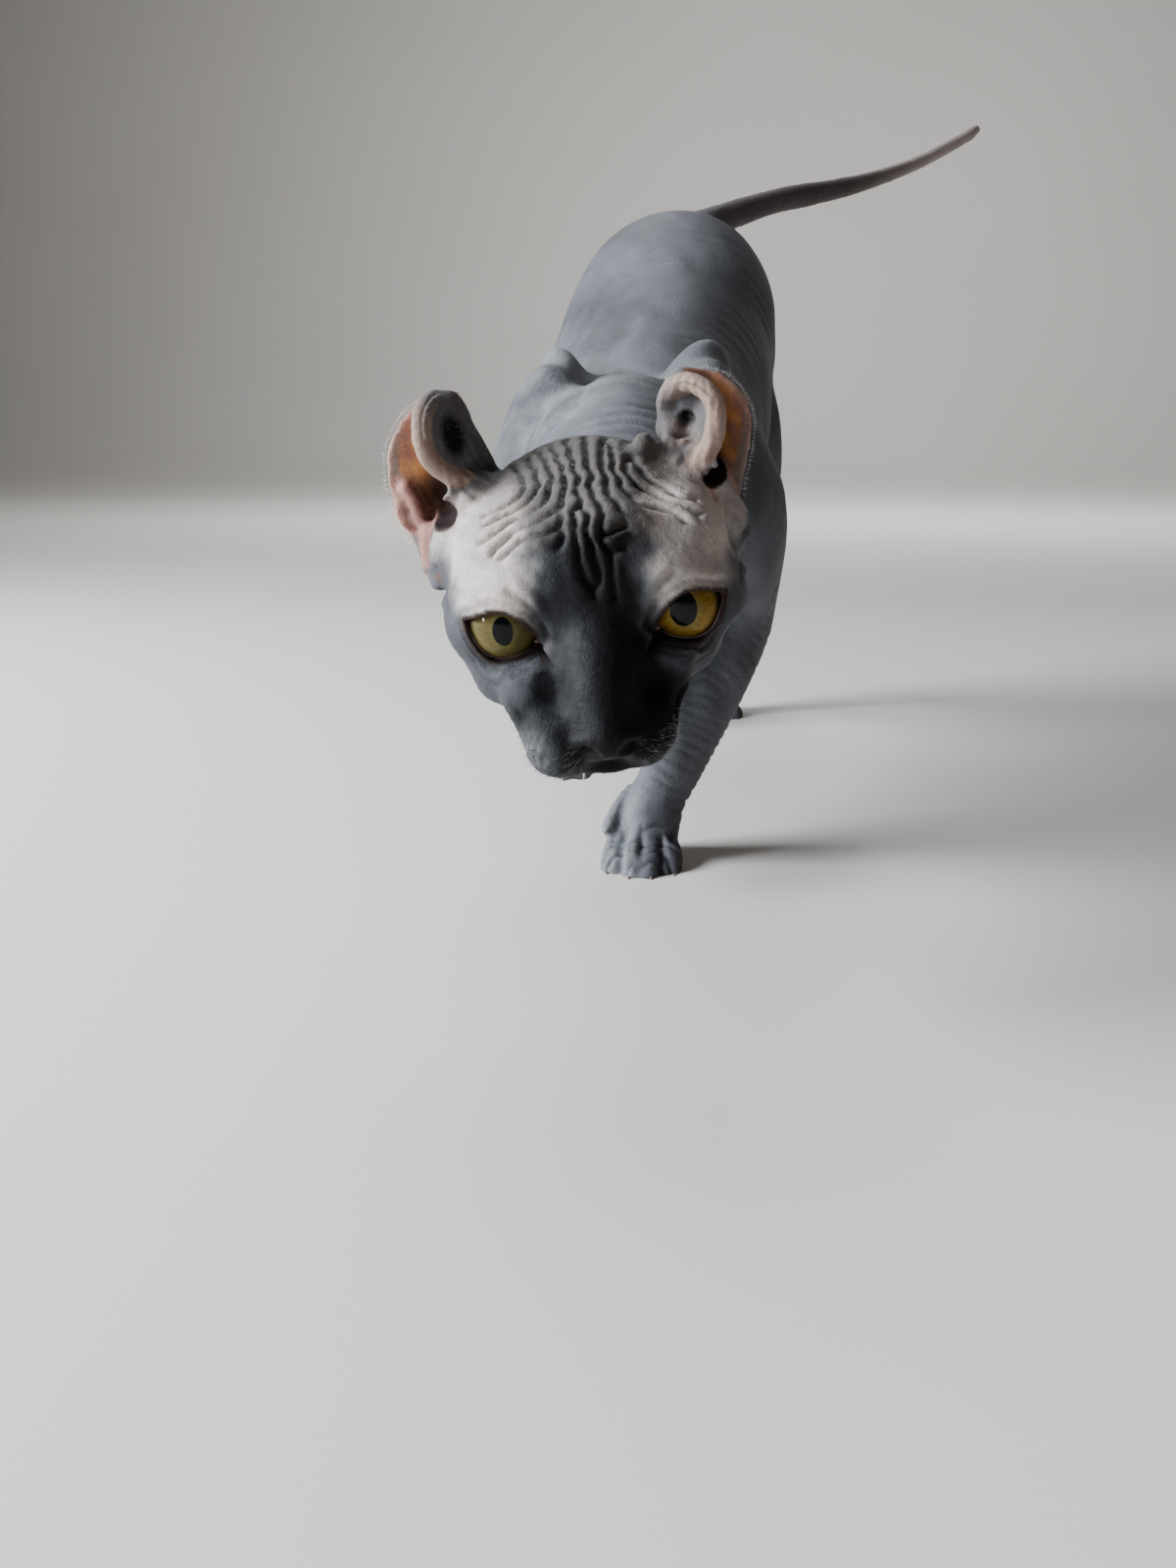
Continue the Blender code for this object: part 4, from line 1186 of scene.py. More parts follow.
@dataclass(frozen=True)
class Paw:
    """A paw's own axes, and what is modelled on its toes."""

    name: str
    at: Three
    heading: float
    pitch: float = 0.0
    size: float = 1.0
    toe_spread: float = 7.4
    groove: Line = ((7.4, -19, 3), (7.5, -17, 9), (7.2, -10, 14.5), (6.6, -2, 16.5), (6.0, 5, 17))
    toes: tuple[tuple[float, float], ...] = ((-1.5, -7.5), (-0.5, -12.0), (0.5, -12.0), (1.5, -7.5))

    def axes(self) -> Matrix:
        """The paw's axes in the cat's axes.

        Returns:
            The axes.
        """
        return (
            Matrix.Translation(self.at)
            @ turned(self.heading, "Z")
            @ turned(self.pitch, "X")
            @ Matrix.Scale(self.size, 4)
        )

    def near(self, points: np.ndarray, far: float, close: float) -> np.ndarray:
        """1 for points closer than close to the paw's middle, 0 for those beyond far."""
        middle = np.array((0, -2, 6))
        return ease(far, close, np.linalg.norm(into(self.axes(), points) - middle, axis=1))

    def height(self, points: np.ndarray) -> np.ndarray:
        """The knuckle wrinkles and the grooves between the toes.

        Args:
            points: N by 3 places in the cat's axes.

        Returns:
            N heights in millimetres.
        """
        local = into(self.axes(), points)
        x, y, z = local.T
        region = ease(19, 16, np.abs(x)) * ease(-26, -22, y) * ease(16, 8, y) * ease(24, 18, z)
        height = np.zeros(len(points))
        for between in (-1.0, 0.0, 1.0):
            line = rounded(np.array(self.groove) * (between, 1, 1))
            height -= 1.6 * bell(away_from(local, line, 7), 1.2)
        knuckles = y * 0.9 - z * 0.55 + 0.9 * ripple(local, 9, 71)
        top = ease(4.5, 8, z)
        height -= 1.0 * top * furrows(knuckles / 3.1 * math.pi, 2)
        pads = ease(3.2, 1.6, z)
        height -= 0.3 * pads * (0.5 + 0.5 * ripple(local, 3, 72))
        return height * region


PAWS = (
    Paw("forepaw_left", (6.4, -109, -1.5), 4, 0, 1.02),
    Paw("forepaw_right", (-14.5, -130, 50), 6, 22, 0.94),
    Paw("hindpaw_left", (24, 157, -1.5), -2, 0, 0.94),
    Paw("hindpaw_right", (-22, 91, -1.5), 3, 0, 0.94),
)


# ---------------------------------------------------------------- colour of the skin


@dataclass(frozen=True)
class Coat:
    """The colours of the skin and the short flat fur on it, with the painted light and shade laid
    over them, as linear RGB.
    """

    slate: Three = (0.088, 0.093, 0.107)
    charcoal: Three = (0.0045, 0.0048, 0.0058)
    # painted sheen: a lighter charcoal for the side of the mask that faces the light
    lit_mask_sheen: Three = (0.0165, 0.0175, 0.0205)
    forehead: Three = (0.082, 0.077, 0.074)
    cheek: Three = (0.050, 0.053, 0.062)
    pale: Three = (0.475, 0.430, 0.410)
    nose: Three = (0.008, 0.008, 0.009)
    lid: Three = (0.020, 0.012, 0.010)
    paw: Three = (0.062, 0.066, 0.078)
    pad: Three = (0.035, 0.030, 0.032)
    # painted sheen and light, laid on the parts that face the light
    lit_sheen: Three = (0.185, 0.200, 0.222)
    tail: Three = (0.085, 0.072, 0.075)
    tail_tip: Three = (0.36, 0.315, 0.31)
    ear_inside: Three = (0.38, 0.175, 0.115)
    # painted shade over the cup of the ear that lies in shadow
    ear_cup_shade: Three = (0.13, 0.055, 0.028)
    # painted shade in the ear canal and the lower cup
    ear_hollow_shade: Three = (0.016, 0.0045, 0.0035)
    ear_edge: Three = (0.31, 0.222, 0.182)
    # the cup's own orange, strengthened as painted light of the glow through its thin skin
    ear_warm_glow: Three = (0.58, 0.27, 0.085)
    ear_fold: Three = (0.33, 0.17, 0.14)
    ear_back: Three = (0.105, 0.103, 0.110)
    spot: Three = (0.16, 0.07, 0.05)

    def paint(self, points: np.ndarray, normals: np.ndarray) -> tuple[np.ndarray, np.ndarray]:
        """Lays the coat's colours over the skin, painted light and shade among them.

        Args:
            points: N by 3 places in the cat's axes.
            normals: N by 3 normals in the cat's axes.

        Returns:
            An N by 3 array of colours, and how thin and see-through the skin is at each point.
        """
        local = STANCE.on_head(points)
        colour = np.tile(np.array(self.slate), (len(points), 1))
        thin = np.zeros(len(points))

        def lay(tone: Three, amount: np.ndarray) -> None:
            """Covers the coat with a tone, as far as amount says."""
            share = np.clip(amount, 0, 1)[:, None]
            colour[:] = colour * (1 - share) + np.array(tone) * share

        colour *= (1 + 0.28 * ripple(points, 60, 95) + 0.16 * ripple(points, 16, 96))[:, None]
        x, y, z = points.T
        streaks = 0.45 + 0.4 * ripple(points * (1, 0.35, 1), 7, 97) + 0.25 * ripple(points, 30, 94)
        # painted sheen: pale streaks over the withers, on the cat's right where the light falls
        withers = ease(-40, -75, y) * ease(-205, -180, y) * ease(140, 160, z) * ease(12, -6, x)
        lay(self.lit_sheen, withers * streaks)
        lay(self.tail, ease(255, 268, z) * ease(110, 150, y))
        lay(self.tail_tip, ease(255, 268, z) * ease(215, 300, y))
        for paw in PAWS:
            own = into(paw.axes(), points)
            near = paw.near(points, 34, 18)
            lay(self.paw, near)
            if paw.name == "forepaw_left":
                # painted light: the foreleg is lighter on its side towards the cat's right, which
                # faces the light
                lay(self.lit_sheen, near * ease(2.5, -3.5, own[:, 0] + ripple(own, 8, 98)) * 0.75)
            lay(self.pad, near * ease(2.6, 1.2, own[:, 2]))
        self.paint_head(local, lay)
        for ear in EARS:
            thin = np.maximum(thin, self.paint_ear(ear, points, normals, lay))
        for lids in LIDS:
            gap, below = lids.edge_distance(points)
            lay(self.lid, ease(1.5 + 0.25 * below, 0.75, gap) * 0.97)
            lay(self.cheek, below * 0.5 * ease(2.6, 3.2, gap) * ease(5.2, 4.0, gap))
        return colour, thin

    def paint_head(self, local: np.ndarray, lay: Lay) -> None:
        """Lays the mask, the pale temples, the grey cheeks and the nose, with painted light on the
        lit right side and painted shade on the left of the muzzle.

        Args:
            local: N by 3 places in the head's axes.
            lay: What covers the coat with a tone.
        """
        x, y, z = local.T
        wide = np.abs(x)
        loose = 1.6 * ripple(local, 12, 81) + 0.8 * ripple(local, 5, 82)
        head = ease(52, 40, y) * ease(-48, -36, z)
        lay(self.forehead, head * ease(16, 20, z + 0.3 * loose) * ease(24, 16, wide))
        lay(self.cheek, head * ease(2, -4, z + 0.5 * loose) * ease(30, 10, y))
        ears = ease(-1.5, 7, z - 0.25 * (wide - 20) + 0.8 * loose)
        pale = ears * ease(11.5, 18.5, wide + loose) * ease(33, 26, y)
        pale *= ease(28, 22, z + 0.12 * wide)
        mottle = 0.89 + 0.08 * ripple(local, 4, 83) + 0.05 * ripple(local, 9, 84)
        lay(self.pale, pale * 0.97 * mottle)
        reach = 10.5 + 5.5 * ease(-4, -14, z) + 3.0 * ease(4, -3, z) - 2.5 * ease(14, 22, z)
        mask = ease(reach + 3.5, reach - 2.5, wide + loose) * ease(8, -2, y + 0.3 * loose)
        mask *= ease(25, 19, z)
        lay(self.charcoal, mask * 0.97)
        # painted sheen: the mask is lighter on the cat's right, the side that faces the light
        lay(self.lit_mask_sheen, mask * ease(0.5, -4.5, x) * (0.75 + 0.35 * ripple(local, 3, 80)))
        # the muzzle's own dark, reaching 3 mm further on the cat's left as painted shade on the
        # side away from the light
        muzzle = ease(-8, -15, z) * ease(-8, -20, y) * ease(29, 20, wide - 3 * np.sign(x))
        lay(self.charcoal, muzzle * 0.85)
        pad = mound(local, (-16, -27.5, -20), (8.5, 13, 7.5))
        # painted light: the whisker pad on the cat's right, the lit side, is lighter
        lay(self.lit_sheen, pad * (0.5 + 0.3 * ripple(local, 2.6, 99)))
        # painted highlight: a lighter patch below the inner corner of the right eye, on the lit
        # side only
        lay(self.cheek, mound(local, (-13.6, -13.5, -9.0), (6, 8, 5)) * 1.3)
        leather = ease(1.1, 0.75, np.sqrt((x / 8.2) ** 2 + ((z + 17.5) / 4.8) ** 2))
        lay(self.nose, leather * ease(-29, -32, y))
        lay(self.spot, mound(local, (-39.6, 20.5, 2.0), (2.6, 2.6, 2.2)) * 1.6)

    def paint_ear(
        self, ear: Ear, points: np.ndarray, normals: np.ndarray, lay: Lay
    ) -> np.ndarray:
        """Lays the pink cup, the beige front fold and the grey back of one ear, with painted shade
        in the canal, the hollows and the cup of the shadowed left ear, and a painted glow in the
        orange of the cup.

        Args:
            ear: The ear.
            points: N by 3 places in the cat's axes.
            normals: N by 3 normals in the cat's axes.
            lay: What covers the coat with a tone.

        Returns:
            How thin and see-through the skin is at each point.
        """
        middle = ear.sheet(30, 20)
        rows, columns = middle.shape[:2]
        flat = middle.reshape(-1, 3)
        mouth = (middle[:, 0] + middle[:, -1]) / 2
        faces = [
            (i * columns + j, i * columns + j + 1, (i + 1) * columns + j + 1, (i + 1) * columns + j)
            for i in range(rows - 1)
            for j in range(columns - 1)
        ]
        tree = BVHTree.FromPolygons(flat.tolist(), faces)
        near = close_to(points, flat, 4)
        gap = np.full(len(points), 99.0)
        up, across, inner = np.zeros((3, len(points)))
        for k in near:
            spot, normal, face, away = tree.find_nearest(points[k], 5.0)
            if spot is None:
                continue
            i, j = divmod(face, columns - 1)
            gap[k], up[k] = away, (i + 0.5) / (rows - 1)
            across[k] = 2 * (j + 0.5) / (columns - 1) - 1
            normal = np.array(normal)
            inward = normal * math.copysign(1, (mouth[i] - middle[i, j]) @ normal)
            inner[k] = (points[k] - np.array(spot)) @ inward + 0.3 * float(normals[k] @ inward)
        on = ease(3.2, 2.2, gap)
        fold = away_from(points, STANCE.off_head(rounded(ear.front)), 5.0)
        band = ease(ear.edge + 0.8, ear.edge + 0.2, fold) * ease(*ear.fade, up)
        local = STANCE.on_head(points)
        middle_of, radii = ear.canal
        reach = np.linalg.norm((local - np.array(middle_of)) / (np.array(radii) + 0.4), axis=1)
        cup = ease(-0.15, 0.25, inner) * ease(0.95, 0.8, np.abs(across))
        grain = 0.5 + 0.5 * ripple(points, 6, 91)
        lay(self.ear_back, on * ease(0.02, 0.12, up) * (1 - cup))
        lay(self.ear_inside, on * cup)
        # painted shade: a mottled brown over the cup of the left ear, the one in shadow
        cup_shade = on * cup * (0.35 + 0.4 * ear.side.value)
        lay(self.ear_cup_shade, cup_shade * (0.5 + 0.5 * ripple(points, 9, 92)))
        lay(self.ear_edge, on * cup * ease(0.55, 0.75, up) * 0.5)
        # painted light: the cup's own orange, deepened towards the rear rim as a glow through the
        # thin skin
        lay(self.ear_warm_glow, on * cup * ease(0.2, 0.9, across) * ease(0.75, 0.4, up) * grain)
        # painted shade: darker down the lower cup towards the canal
        hollow_shade = on * cup * ease(0.50, 0.12, up) * ease(0.95, 0.3, across)
        lay(self.ear_hollow_shade, hollow_shade * (0.8 + 0.2 * grain))
        lay(self.ear_edge, on * ease(0.84, 0.97, across) * ease(0.12, 0.25, up) * 0.75)
        for line, radius in ear.folds[: ear.pink]:
            away = away_from(points, STANCE.off_head(rounded(line)), 6.0)
            lay(self.ear_fold, ease(radius + 0.9, radius, away) * 0.8)
        # painted shade around the mouth of the canal
        lay(self.ear_hollow_shade, on * cup * ease(1.7, 1.1, reach) * 0.85)
        if ear.side is Side.LEFT:
            rough = mound(local, (24.5, 30.0, 27.0), (8, 9, 9))
            lay(self.ear_edge, rough * (0.4 + 0.25 * ripple(points, 4, 90)))
        # painted shade: a near-black spot in the darkest hollow of each cup
        lay(self.charcoal, mound(local, *ear.dark) * 1.8 * (1 - band))
        lay(self.ear_edge, band * (0.82 + 0.1 * ripple(points, 5, 93)))
        # painted shade: near black inside the canal
        lay(self.ear_hollow_shade, ease(1.1, 1.0, reach) * (0.75 + 0.25 * grain))
        return on * ease(0.25, 0.5, up) * (1 - band)


@dataclass(frozen=True)
class Skin:
    """The whole hide in one piece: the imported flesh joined, evened, folded and painted."""

    face: Face = Face()
    body: Body = Body()
    coat: Coat = Coat()
    voxel: float = 0.8
    grown: float = 0.25
    floor_gap: float = 0.02
    crease_gain: float = 2.2
    least_edge: float = 0.2
    most: int = 196000
    sharp_angle: float = 55.0

    def flesh(self) -> list[str]:
        """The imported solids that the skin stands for."""
        return sorted(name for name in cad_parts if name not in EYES)

    def rounded_flesh(self) -> Piece:
        """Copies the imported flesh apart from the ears, merges each copy and rounds its facets.

        Returns:
            One object of many closed shells, in the cat's axes.
        """
        shift = STANCE.shift()
        place = Matrix.Translation(-shift) @ Matrix.Scale(1 / MM, 4)
        steep = math.radians(self.sharp_angle)
        copies = []
        for name in self.flesh():
            if name.startswith("ear_"):
                continue
            data = bmesh.new()
            data.from_mesh(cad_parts[name].data)
            bmesh.ops.transform(data, matrix=place, verts=data.verts)
            bmesh.ops.remove_doubles(data, verts=data.verts, dist=0.001)
            layers = data.edges.layers.float
            sharp = layers.get("crease_edge") or layers.new("crease_edge")
            for edge in data.edges:
                if len(edge.link_faces) == 2 and edge.calc_face_angle() > steep:
                    edge[sharp] = 1.0
            copy = new_piece("flesh_" + name, [], [])
            data.to_mesh(copy.data)
            data.free()
            copies.append(copy)
        whole = join("flesh", copies)
        rounding = whole.modifiers.new("rounding", "SUBSURF")
        rounding.levels = rounding.render_levels = 2
        bake_modifiers(whole)
        set_points(whole, points_of(whole) + normals_of(whole) * self.grown)
        return whole

    def one_surface(self) -> Piece:
        """Joins the flesh, the ears and the closed lids, and wraps them in one even surface.

        Returns:
            The surface, in the cat's axes.
        """
        parts = [self.rounded_flesh()]
        parts += [soft_fold(rounded(line, 10), radius) for line, radius in self.body.rolls]
        for ear in EARS:
            parts += [ear.wall(), *ear.masses()]
        for lids in LIDS:
            parts.append(globe(lids.ball + lids.thick - 0.05, 48, 28))
            parts[-1].data.transform(STANCE.eye(lids.side))
        whole = join("skin", parts)
        self.wrap(whole)
        for ear in EARS:
            combine(whole, lump(STANCE.head(), *ear.canal), "DIFFERENCE")
        self.wrap(whole)
        return keep_largest(whole)

    def wrap(self, piece: Piece) -> None:
        """Wraps a piece in one even surface.

        Args:
            piece: The piece.
        """
        wrap = piece.modifiers.new("wrap", "REMESH")
        wrap.mode, wrap.voxel_size = "VOXEL", self.voxel
        bake_modifiers(piece)

    def softness(self, points: np.ndarray) -> np.ndarray:
        """How far points follow the smoothing: the trunk fully, the face, ears and toes less.

        Args:
            points: N by 3 places in the cat's axes.

        Returns:
            The share at each point, 0 to 1.
        """
        local = STANCE.on_head(points)
        weight = np.ones(len(points))
        head = ease(56, 44, local[:, 1]) * ease(-50, -40, local[:, 2])
        weight *= 1 - 0.78 * head
        weight *= 1 - 0.6 * ease(95, 70, points[:, 2])
        for paw in PAWS:
            weight *= 1 - 0.75 * paw.near(points, 30, 20)
        weight *= 1 - 0.5 * ease(262, 275, points[:, 2])
        return weight

    def finest(self, points: np.ndarray) -> np.ndarray:
        """How freely the mesh may thin out: least on the face and ears, most on the trunk.

        Args:
            points: N by 3 places in the cat's axes.

        Returns:
            The share at each point, 0 to 1.
        """
        local = STANCE.on_head(points)
        weight = np.ones(len(points))
        head = ease(50, 40, local[:, 1]) * ease(-46, -36, local[:, 2])
        weight *= 1 - 0.90 * head
        weight *= 1 - 0.9 * ease(20, 8, local[:, 1]) * head
        for paw in PAWS:
            weight *= 1 - (0.8 if paw.name == "forepaw_left" else 0.6) * paw.near(points, 32, 22)
        weight *= 1 - 0.45 * ease(120, 100, points[:, 2]) * ease(-60, -75, points[:, 1])
        return weight

    def build(self) -> Piece:
        """Makes the whole skin.

        Returns:
            The skin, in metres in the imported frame.
        """
        skin = self.one_surface()
        LOG.info("skin wrapped, %d faces", len(skin.data.polygons))
        relax(skin, self.softness(points_of(skin)), 10)
        points, normals = points_of(skin), normals_of(skin)
        local = STANCE.on_head(points)
        _, y, z = local.T
        height = self.face.height(points, local) * ease(58, 48, y) * ease(-52, -44, z)
        height += self.body.height(points) * (1 - ease(50, 42, y) * ease(-46, -40, z))
        for paw in PAWS:
            height += paw.height(points)
        points = points + normals * (height - self.grown)[:, None]
        points[:, 2] = np.maximum(points[:, 2], self.floor_gap)
        set_points(skin, points)
        relax(skin, 0.5 * np.ones(len(points)), 1)
        share = min(self.most / (2 * len(skin.data.polygons)), 1.0)
        set_weights(skin, "thin out", self.finest(points_of(skin)))
        fewer = skin.modifiers.new("fewer", "DECIMATE")
        fewer.ratio, fewer.vertex_group = share, "thin out"
        bake_modifiers(skin)
        skin.vertex_groups.clear()
        LOG.info("skin thinned, %d faces", len(skin.data.polygons))
        for lids in LIDS:
            combine(skin, lids.cutter(), "DIFFERENCE")
        skin = keep_largest(skin)
        self.dress(skin)
        STANCE.set_down(skin)
        smooth(skin)
        skin.data.materials.clear()
        skin.data.materials.append(SkinFinish().build())
        return skin

    def dress(self, skin: Piece) -> None:
        """Puts the coat's colours and the depth of the creases on the skin as attributes.

        Args:
            skin: The skin, in the cat's axes.
        """
        points, normals = points_of(skin), normals_of(skin)
        colour, thin = self.coat.paint(points, normals)
        edges = np.empty(len(skin.data.edges) * 2, int)
        skin.data.edges.foreach_get("vertices", edges)
        a, b = edges.reshape(-1, 2).T

        def gather(at_a: np.ndarray | None, at_b: np.ndarray | None) -> np.ndarray:
            """Sums over each vertex's edges what their far ends hold."""
            return np.bincount(a, at_b, len(points)) + np.bincount(b, at_a, len(points))

        count = gather(None, None)
        hollow = np.zeros(len(points))
        for place, normal in zip(points.T, normals.T):
            hollow += (gather(place[a], place[b]) / count - place) * normal
        span = np.linalg.norm(points[a] - points[b], axis=1)
        hollow = hollow / np.maximum(gather(span, span) / count, self.least_edge) ** 2
        for _ in range(2):
            hollow = 0.5 * hollow + 0.5 * gather(hollow[a], hollow[b]) / count
        tone = skin.data.color_attributes.new("tone", "FLOAT_COLOR", "POINT")
        tone.data.foreach_set("color", np.column_stack([colour, np.ones(len(points))]).ravel())
        store(skin, "crease", np.clip(hollow * self.crease_gain, -1, 1))
        store(skin, "thin", thin)


# ---------------------------------------------------------------- finishes


class Nodes:
    """A material in the making: a Principled shader and short ways to feed it."""

    def __init__(self, name: str) -> None:
        """Starts a material with its output, its shader and the piece's own coordinates.

        Args:
            name: The material's name.
        """
        self.material = bpy.data.materials.new(name)
        self.material.use_nodes = True
        self.tree = self.material.node_tree
        self.tree.nodes.clear()
        output = self.add("ShaderNodeOutputMaterial")
        self.shader = self.add("ShaderNodeBsdfPrincipled")
        self.tree.links.new(self.shader.outputs["BSDF"], output.inputs["Surface"])
        self.place = self.add("ShaderNodeTexCoord").outputs["Object"]

    def add(self, kind: str, **settings: object) -> bpy.types.Node:
        """Adds a node.

        Args:
            kind: The node's type.
            **settings: Properties, or input values by name with _ for a space.

        Returns:
            The node.
        """
        node = self.tree.nodes.new(kind)
        for key, value in settings.items():
            if hasattr(node, key):
                setattr(node, key, value)
            else:
                self.feed(node.inputs[key.replace("_", " ")], value)
        return node

    def feed(self, socket: Socket, value: object) -> None:
        """Links an output to an input, or sets a number or a colour on it.

        Args:
            socket: The input.
            value: The output, the number or the colour.
        """
        if isinstance(value, bpy.types.NodeSocket):
            self.tree.links.new(value, socket)
        elif socket.type == "RGBA":
            socket.default_value = (*value, 1.0)
        else:
            socket.default_value = value

    def finish(self, **inputs: object) -> bpy.types.Material:
        """Feeds the shader, and gives the material.

        Args:
            **inputs: The shader's inputs by name, with _ for a space.

        Returns:
            The material.
        """
        for key, value in inputs.items():
            self.feed(self.shader.inputs[key.replace("_", " ")], value)
        return self.material

    def attribute(self, name: str, output: str = "Fac") -> Socket:
        """Reads one of the piece's own attributes."""
        return self.add("ShaderNodeAttribute", attribute_name=name).outputs[output]

    def noise(
        self, scale: float, detail: float = 3.0, rough: float = 0.6, place: Socket | None = None
    ) -> Socket:
        """A noise from 0 to 1.

        Args:
            scale: Waves to the metre.
            detail: How many octaves.
            rough: How strong the fine ones are.
            place: Where it is read, the piece's own coordinates if nothing is given.

        Returns:
            The noise.
        """
        settings = {"Scale": scale, "Detail": detail, "Roughness": rough}
        return self.add("ShaderNodeTexNoise", **settings, Vector=place or self.place).outputs["Fac"]

    def sum(self, kind: str, first: object, second: object, clamp: bool = False) -> Socket:
        """A Math node of two values.

        Args:
            kind: The operation.
            first: A socket or a number.
            second: A socket or a number.
            clamp: True to keep the result from 0 to 1.

        Returns:
            The result.
        """
        node = self.add("ShaderNodeMath", operation=kind, use_clamp=clamp)
        for socket, value in zip(node.inputs, (first, second)):
            self.feed(socket, value)
        return node.outputs["Value"]

    def times(self, value: Socket, gain: float, clamp: bool = False) -> Socket:
        """A value times a number."""
        return self.sum("MULTIPLY", value, gain, clamp)

    def ramp(self, value: Socket, start: float, gain: float) -> Socket:
        """A value's excess over a start times a gain, kept from 0 to 1."""
        return self.times(self.sum("SUBTRACT", value, start), gain, True)

    def blend(self, amount: object, low: object, high: object, kind: str = "MIX") -> Socket:
        """Mixes two colours.

        Args:
            amount: How much of the second, as a socket or a number.
            low: The first colour, as a socket or a tuple.
            high: The second colour.
            kind: The mix's blend type.

        Returns:
            The mixed colour.
        """
        node = self.add("ShaderNodeMix", data_type="RGBA", blend_type=kind)
        for socket, value in ((0, amount), (6, low), (7, high)):
            self.feed(node.inputs[socket], value)
        return node.outputs[2]

    def stain(self, amount: Socket, under: Socket, tint: Three, most: float = 1.0) -> Socket:
        """Multiplies a colour by a tint.

        Args:
            amount: How far.
            under: The colour.
            tint: The tint.
            most: How far at most.

        Returns:
            The stained colour.
        """
        return self.blend(amount, under, self.blend(most, under, tint, "MULTIPLY"))

    def bump(
        self, height: Socket, strength: float, distance: float, under: Socket | None = None
    ) -> Socket:
        """A bump from a height.

        Args:
            height: The height.
            strength: How much of it counts.
            distance: The relief in metres.
            under: The normal that it lies on.

        Returns:
            The bumped normal.
        """
        node = self.add("ShaderNodeBump", Strength=strength, Distance=distance, Height=height)
        if under is not None:
            self.feed(node.inputs["Normal"], under)
        return node.outputs["Normal"]


@dataclass(frozen=True)
class SkinFinish:
    """Bare warm skin under a nap of very short flat hair."""

    rough: float = 0.45
    nap: float = 0.35

    def build(self) -> bpy.types.Material:
        """Makes the material from the skin's painted tone, its creases and its thin places, with
        painted shade in the creases and a painted highlight on the raised folds.

        Returns:
            The material.
        """
        nodes = Nodes("cat skin")
        tone = nodes.attribute("tone", "Color")
        crease, thin = nodes.attribute("crease"), nodes.attribute("thin")
        blotch = nodes.noise(55, 4)
        speck = nodes.ramp(nodes.noise(900, 2), 0.42, 2.4)
        mottled = nodes.stain(nodes.times(blotch, 0.55), tone, (0.30, 0.25, 0.25), 0.55)
        specked = nodes.stain(speck, mottled, (1.7, 1.68, 1.7))
        softer = nodes.blend(0.45, mottled, specked)
        # painted shade: darker in the creases; painted highlight: lighter on the raised folds
        hollow_shade = nodes.ramp(crease, 0.0, 0.75)
        shaded = nodes.stain(hollow_shade, softer, (0.22, 0.17, 0.17), 0.9)
        raised = nodes.ramp(crease, 0.0, -0.35)
        ridge_highlighted = nodes.stain(raised, shaded, (1.9, 1.78, 1.72))
        along = nodes.add("ShaderNodeMapping", Vector=nodes.place, Scale=(1.0, 0.28, 0.7))
        hair = nodes.noise(1900, 2, 0.7, along.outputs["Vector"])
        cells = nodes.add(
            "ShaderNodeTexVoronoi", feature="DISTANCE_TO_EDGE", Scale=620.0, Vector=nodes.place
        )
        lattice = nodes.sum("MINIMUM", cells.outputs["Distance"], 0.22)
        normal = nodes.bump(nodes.noise(260, 4), 0.30, 0.0008)
        normal = nodes.bump(lattice, 0.25, 0.0005, normal)
        return nodes.finish(
            Base_Color=ridge_highlighted,
            Normal=nodes.bump(hair, self.nap, 0.0005, normal),
            Roughness=nodes.sum("ADD", nodes.times(blotch, 0.22), self.rough),
            Subsurface_Weight=nodes.sum("ADD", nodes.times(thin, 0.5), 0.05),
            Subsurface_Radius=(1.0, 0.35, 0.2),
            Subsurface_Scale=0.003,
            Specular_IOR_Level=0.08,
            Sheen_Weight=0.02,
            Sheen_Roughness=0.45,
            Sheen_Tint=(0.85, 0.88, 0.95),
        )


@dataclass(frozen=True)
class EyeFinish:
    """A golden iris around an upright pupil, under a wet clear coat."""

    gold: Three
    olive: Three
    fleck: Three
    rim: Three = (0.010, 0.007, 0.004)
    white: Three = (0.16, 0.12, 0.10)
    inner: Three = (0.15, 0.14, 0.05)
    black: Three = (0.003, 0.003, 0.004)

    def build(self) -> bpy.types.Material:
        """Makes the material from the ball's painted rings and spokes.

        Returns:
            The material.
        """
        nodes = Nodes("cat eye")
        ring, pupil = nodes.attribute("ring"), nodes.attribute("pupil")
        fibres = nodes.noise(3.2, 4, 0.7, nodes.attribute("spoke", "Vector"))
        iris = nodes.blend(nodes.ramp(fibres, 0.36, 2.6), self.olive, self.gold)
        iris = nodes.blend(nodes.times(nodes.noise(420), 0.5), iris, self.fleck)
        iris = nodes.blend(nodes.times(nodes.ramp(pupil, 1.55, -2.2), 0.45), iris, self.inner)
        dimmed = nodes.blend(1.0, iris, (0.3, 0.3, 0.34), "MULTIPLY")
        iris = nodes.blend(nodes.attribute("shade"), dimmed, iris)
        iris = nodes.blend(nodes.ramp(ring, 0.80, 6.0), iris, self.rim)
        iris = nodes.blend(nodes.ramp(ring, 1.04, 18.0), iris, self.white)
        return nodes.finish(
            Base_Color=nodes.blend(nodes.ramp(pupil, 1.03, -14.0), iris, self.black),
            Normal=nodes.bump(fibres, 0.12, 0.0002),
            Roughness=0.6,
            Specular_IOR_Level=0.0,
            Coat_Weight=0.7,
            Coat_Roughness=0.02,
            Coat_IOR=1.33,
        )


# the right eye's greyer, paler gold is partly painted reflection of the window; the left eye shows
# the iris's own deeper gold
EYE_FINISHES = {
    Side.RIGHT: EyeFinish((0.145, 0.104, 0.022), (0.060, 0.060, 0.034), (0.15, 0.115, 0.03)),
    Side.LEFT: EyeFinish((0.27, 0.155, 0.008), (0.085, 0.055, 0.010), (0.24, 0.13, 0.012)),
}


